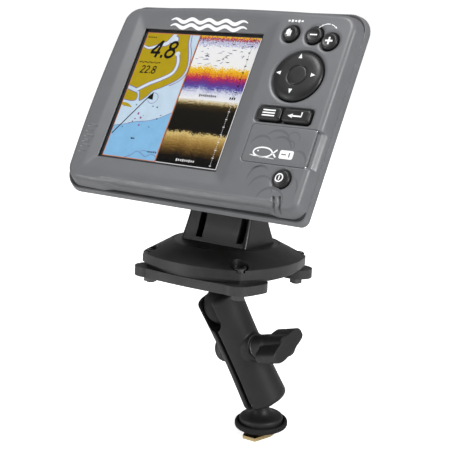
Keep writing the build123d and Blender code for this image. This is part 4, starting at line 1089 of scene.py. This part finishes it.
def make_knob():
    """Hub, and two wings that make an S when seen from the end."""
    hub = [(0, 17.8), (7.6, 17.8), (8.1, 18.4), (8.1, 27.5), (7.4, 30.5), (7.0, 45.8), (0, 45.8)]
    body = loose(turned(hub, 64), Matrix.Translation((0, 0, ARM_MIDDLE)) @ SIDEWAYS)
    half_long, half_wide, sway = 14.8, 5.0, 0.7
    outline = []
    for i in range(72):
        a = 2 * math.pi * i / 72
        x = half_long * math.copysign(abs(math.cos(a)) ** 0.42, math.cos(a))
        y = half_wide * math.copysign(abs(math.sin(a)) ** 0.6, math.sin(a))
        outline.append((x, y * (1 + 0.08 * math.cos(2 * math.pi * x / 32)) + sway * math.sin(math.pi * x / 24)))
    wings = prism(outline, 27.5, 46.5)
    spin = Matrix.Translation((0, 0, ARM_MIDDLE)) @ SIDEWAYS @ Matrix.Rotation(math.radians(97), 4, "Z")
    cut(body, loose(wings, spin), "UNION")
    soften(body, 0.45, 6)
    return body


keep(make_knob(), "knob_grip", ARM, "moulded_black", "knob", ("arm_knob",))

# --- Track base
lathe("track_base_turned", [
    (3.3, 2.35), (13.9, 2.35), (14.5, 2.6), (14.7, 3.2), (14.7, 5.9), (14.45, 6.6), (13.8, 7.1), (12.6, 7.5),
    (10.4, 8.0), (8.6, 8.7), (7.3, 9.7), (6.3, 11.0), (5.6, 12.6), (5.15, 14.6), (4.93, 17.0), (4.93, 32.4),
    (0.4, 32.4)],
    ROW, "moulded_black", "track", ("track_ball_base",))
lathe("track_washer", [
    (3.5, 0.02), (16.9, 0.02), (17.6, 0.3), (17.88, 0.95), (17.88, 2.7), (17.6, 3.5), (17.0, 3.9),
    (16.3, 3.85), (15.7, 3.3),
    (15.35, 2.5), (15.1, 2.28), (3.5, 2.28)], ROW, "rubber_black", "track", ("track_pad",))

# --- CAD nodes that stay, with their own finishes
SPECIAL = {
    "housing_seal": "seam_dark", "display_gasket": "seam_dark", "lcd_panel": "seam_dark",
        "plate_stud": "moulded_black",
    "t_bolt": "brass_bolt",
}
for node_body, members in frame["record"]["behaviour"]["bodies"].items():
    for node in members:
        slot = next(s["material_slot"] for s in frame["record"]["subparts"] if s["node"] == node)
        look = SPECIAL.get(node, slot)
        if node == "display_window":
            continue
        made = nodes[node]
        made.data.materials.clear()
        made.data.materials.append(LOOKS[look])

glass = Shader("clear_window")
glass.bsdf.inputs["Alpha"].default_value = 0.05
glass.bsdf.inputs["Specular IOR Level"].default_value = 0.3
glass.bsdf.inputs["Roughness"].default_value = 0.06
glass.link(glass.ramp(glass.noise(60.0), [(0.0, (0.02, 0.02, 0.02)), (1.0, (0.03, 0.03, 0.032))]),
           glass.bsdf.inputs["Base Color"])
glass.bump(glass.noise(30.0), 0.05, 0.01 * MM)
nodes["display_window"].data.materials.clear()
nodes["display_window"].data.materials.append(glass.material)

for node, width in (("bracket_base", 0.9), ("adapter_plate", 0.9), ("bracket_pedestal", 0.7),
        ("rear_housing", 0.6),
                    ("t_bolt", 0.35), ("base_screws", 0.3), ("lock_nuts", 0.3), ("left_ratchet", 0.6),
                    ("right_ratchet", 0.6)):
    made = nodes[node]
    bevel = made.modifiers.new("edges", "BEVEL")
    bevel.width = width * MM
    bevel.segments = 3
    bevel.limit_method = "ANGLE"
    bevel.angle_limit = math.radians(35)
    bevel.use_clamp_overlap = True

# --- Stage
FLOOR_REACH = 40
FLOOR_GAP = 0.0002
FLOOR_GLOW = 0.8
STUDIO_LIGHT = 0.26
floor_mesh = bpy.data.meshes.new("floor")
floor_mesh.from_pydata([(x * FLOOR_REACH, y * FLOOR_REACH, 0) for x,
    y in ((-1, -1), (1, -1), (1, 1), (-1, 1))],
                       [], [(0, 1, 2, 3)])
floor = bpy.data.objects.new("floor", floor_mesh)
floor.location = (0, 0, cad_box[0][2] - FLOOR_GAP)
bpy.context.scene.collection.objects.link(floor)
pale = Shader("pale_floor")
pale.link(pale.ramp(pale.noise(3.0), [(0.3, (0.86, 0.86, 0.86)), (0.7, (0.9, 0.9, 0.9))]),
    pale.bsdf.inputs["Base Color"])
pale.bsdf.inputs["Roughness"].default_value = 0.9
pale.bsdf.inputs["Emission Color"].default_value = (1, 1, 1, 1)
pale.link(pale.math("MULTIPLY", pale.node("ShaderNodeLightPath").outputs["Is Camera Ray"], FLOOR_GLOW),
          pale.bsdf.inputs["Emission Strength"])
floor.data.materials.append(pale.material)

world = bpy.data.worlds.new("studio")
bpy.context.scene.world = world
world.use_nodes = True
world.node_tree.nodes["Background"].inputs[0].default_value = (1, 1, 1, 1)
world.node_tree.nodes["Background"].inputs[1].default_value = STUDIO_LIGHT
bpy.context.scene.view_settings.view_transform = "Standard"


def soft_light(name, place, aim, size, power):
    lamp = bpy.data.lights.new(name, "AREA")
    lamp.shape = "RECTANGLE"
    lamp.size, lamp.size_y = size
    lamp.energy = power
    made = bpy.data.objects.new(name, lamp)
    bpy.context.scene.collection.objects.link(made)
    made.location = place
    made.rotation_euler = (Vector(aim) - Vector(place)).to_track_quat("-Z", "Y").to_euler()
    return made


AIM = (0, 0, 0.15)
soft_light("key_right", (1.3, -0.25, 0.75), AIM, (0.35, 0.6), 16)
soft_light("fill_left", (-0.75, -0.95, 0.35), AIM, (0.2, 0.6), 4)
soft_light("top", (-0.1, -0.35, 1.4), AIM, (0.6, 0.5), 14)

CAMERA_PLACE = (0.36693, -0.56743, 0.31037)
CAMERA_AIM = Vector((-0.55562, 0.79465, -0.24456))
camera = bpy.data.objects.new("camera", bpy.data.cameras.new("camera"))
bpy.context.scene.collection.objects.link(camera)
camera.data.lens = 85.84
camera.data.sensor_width = 36
camera.location = CAMERA_PLACE
camera.rotation_euler = CAMERA_AIM.to_track_quat("-Z", "Y").to_euler()
bpy.context.scene.camera = camera
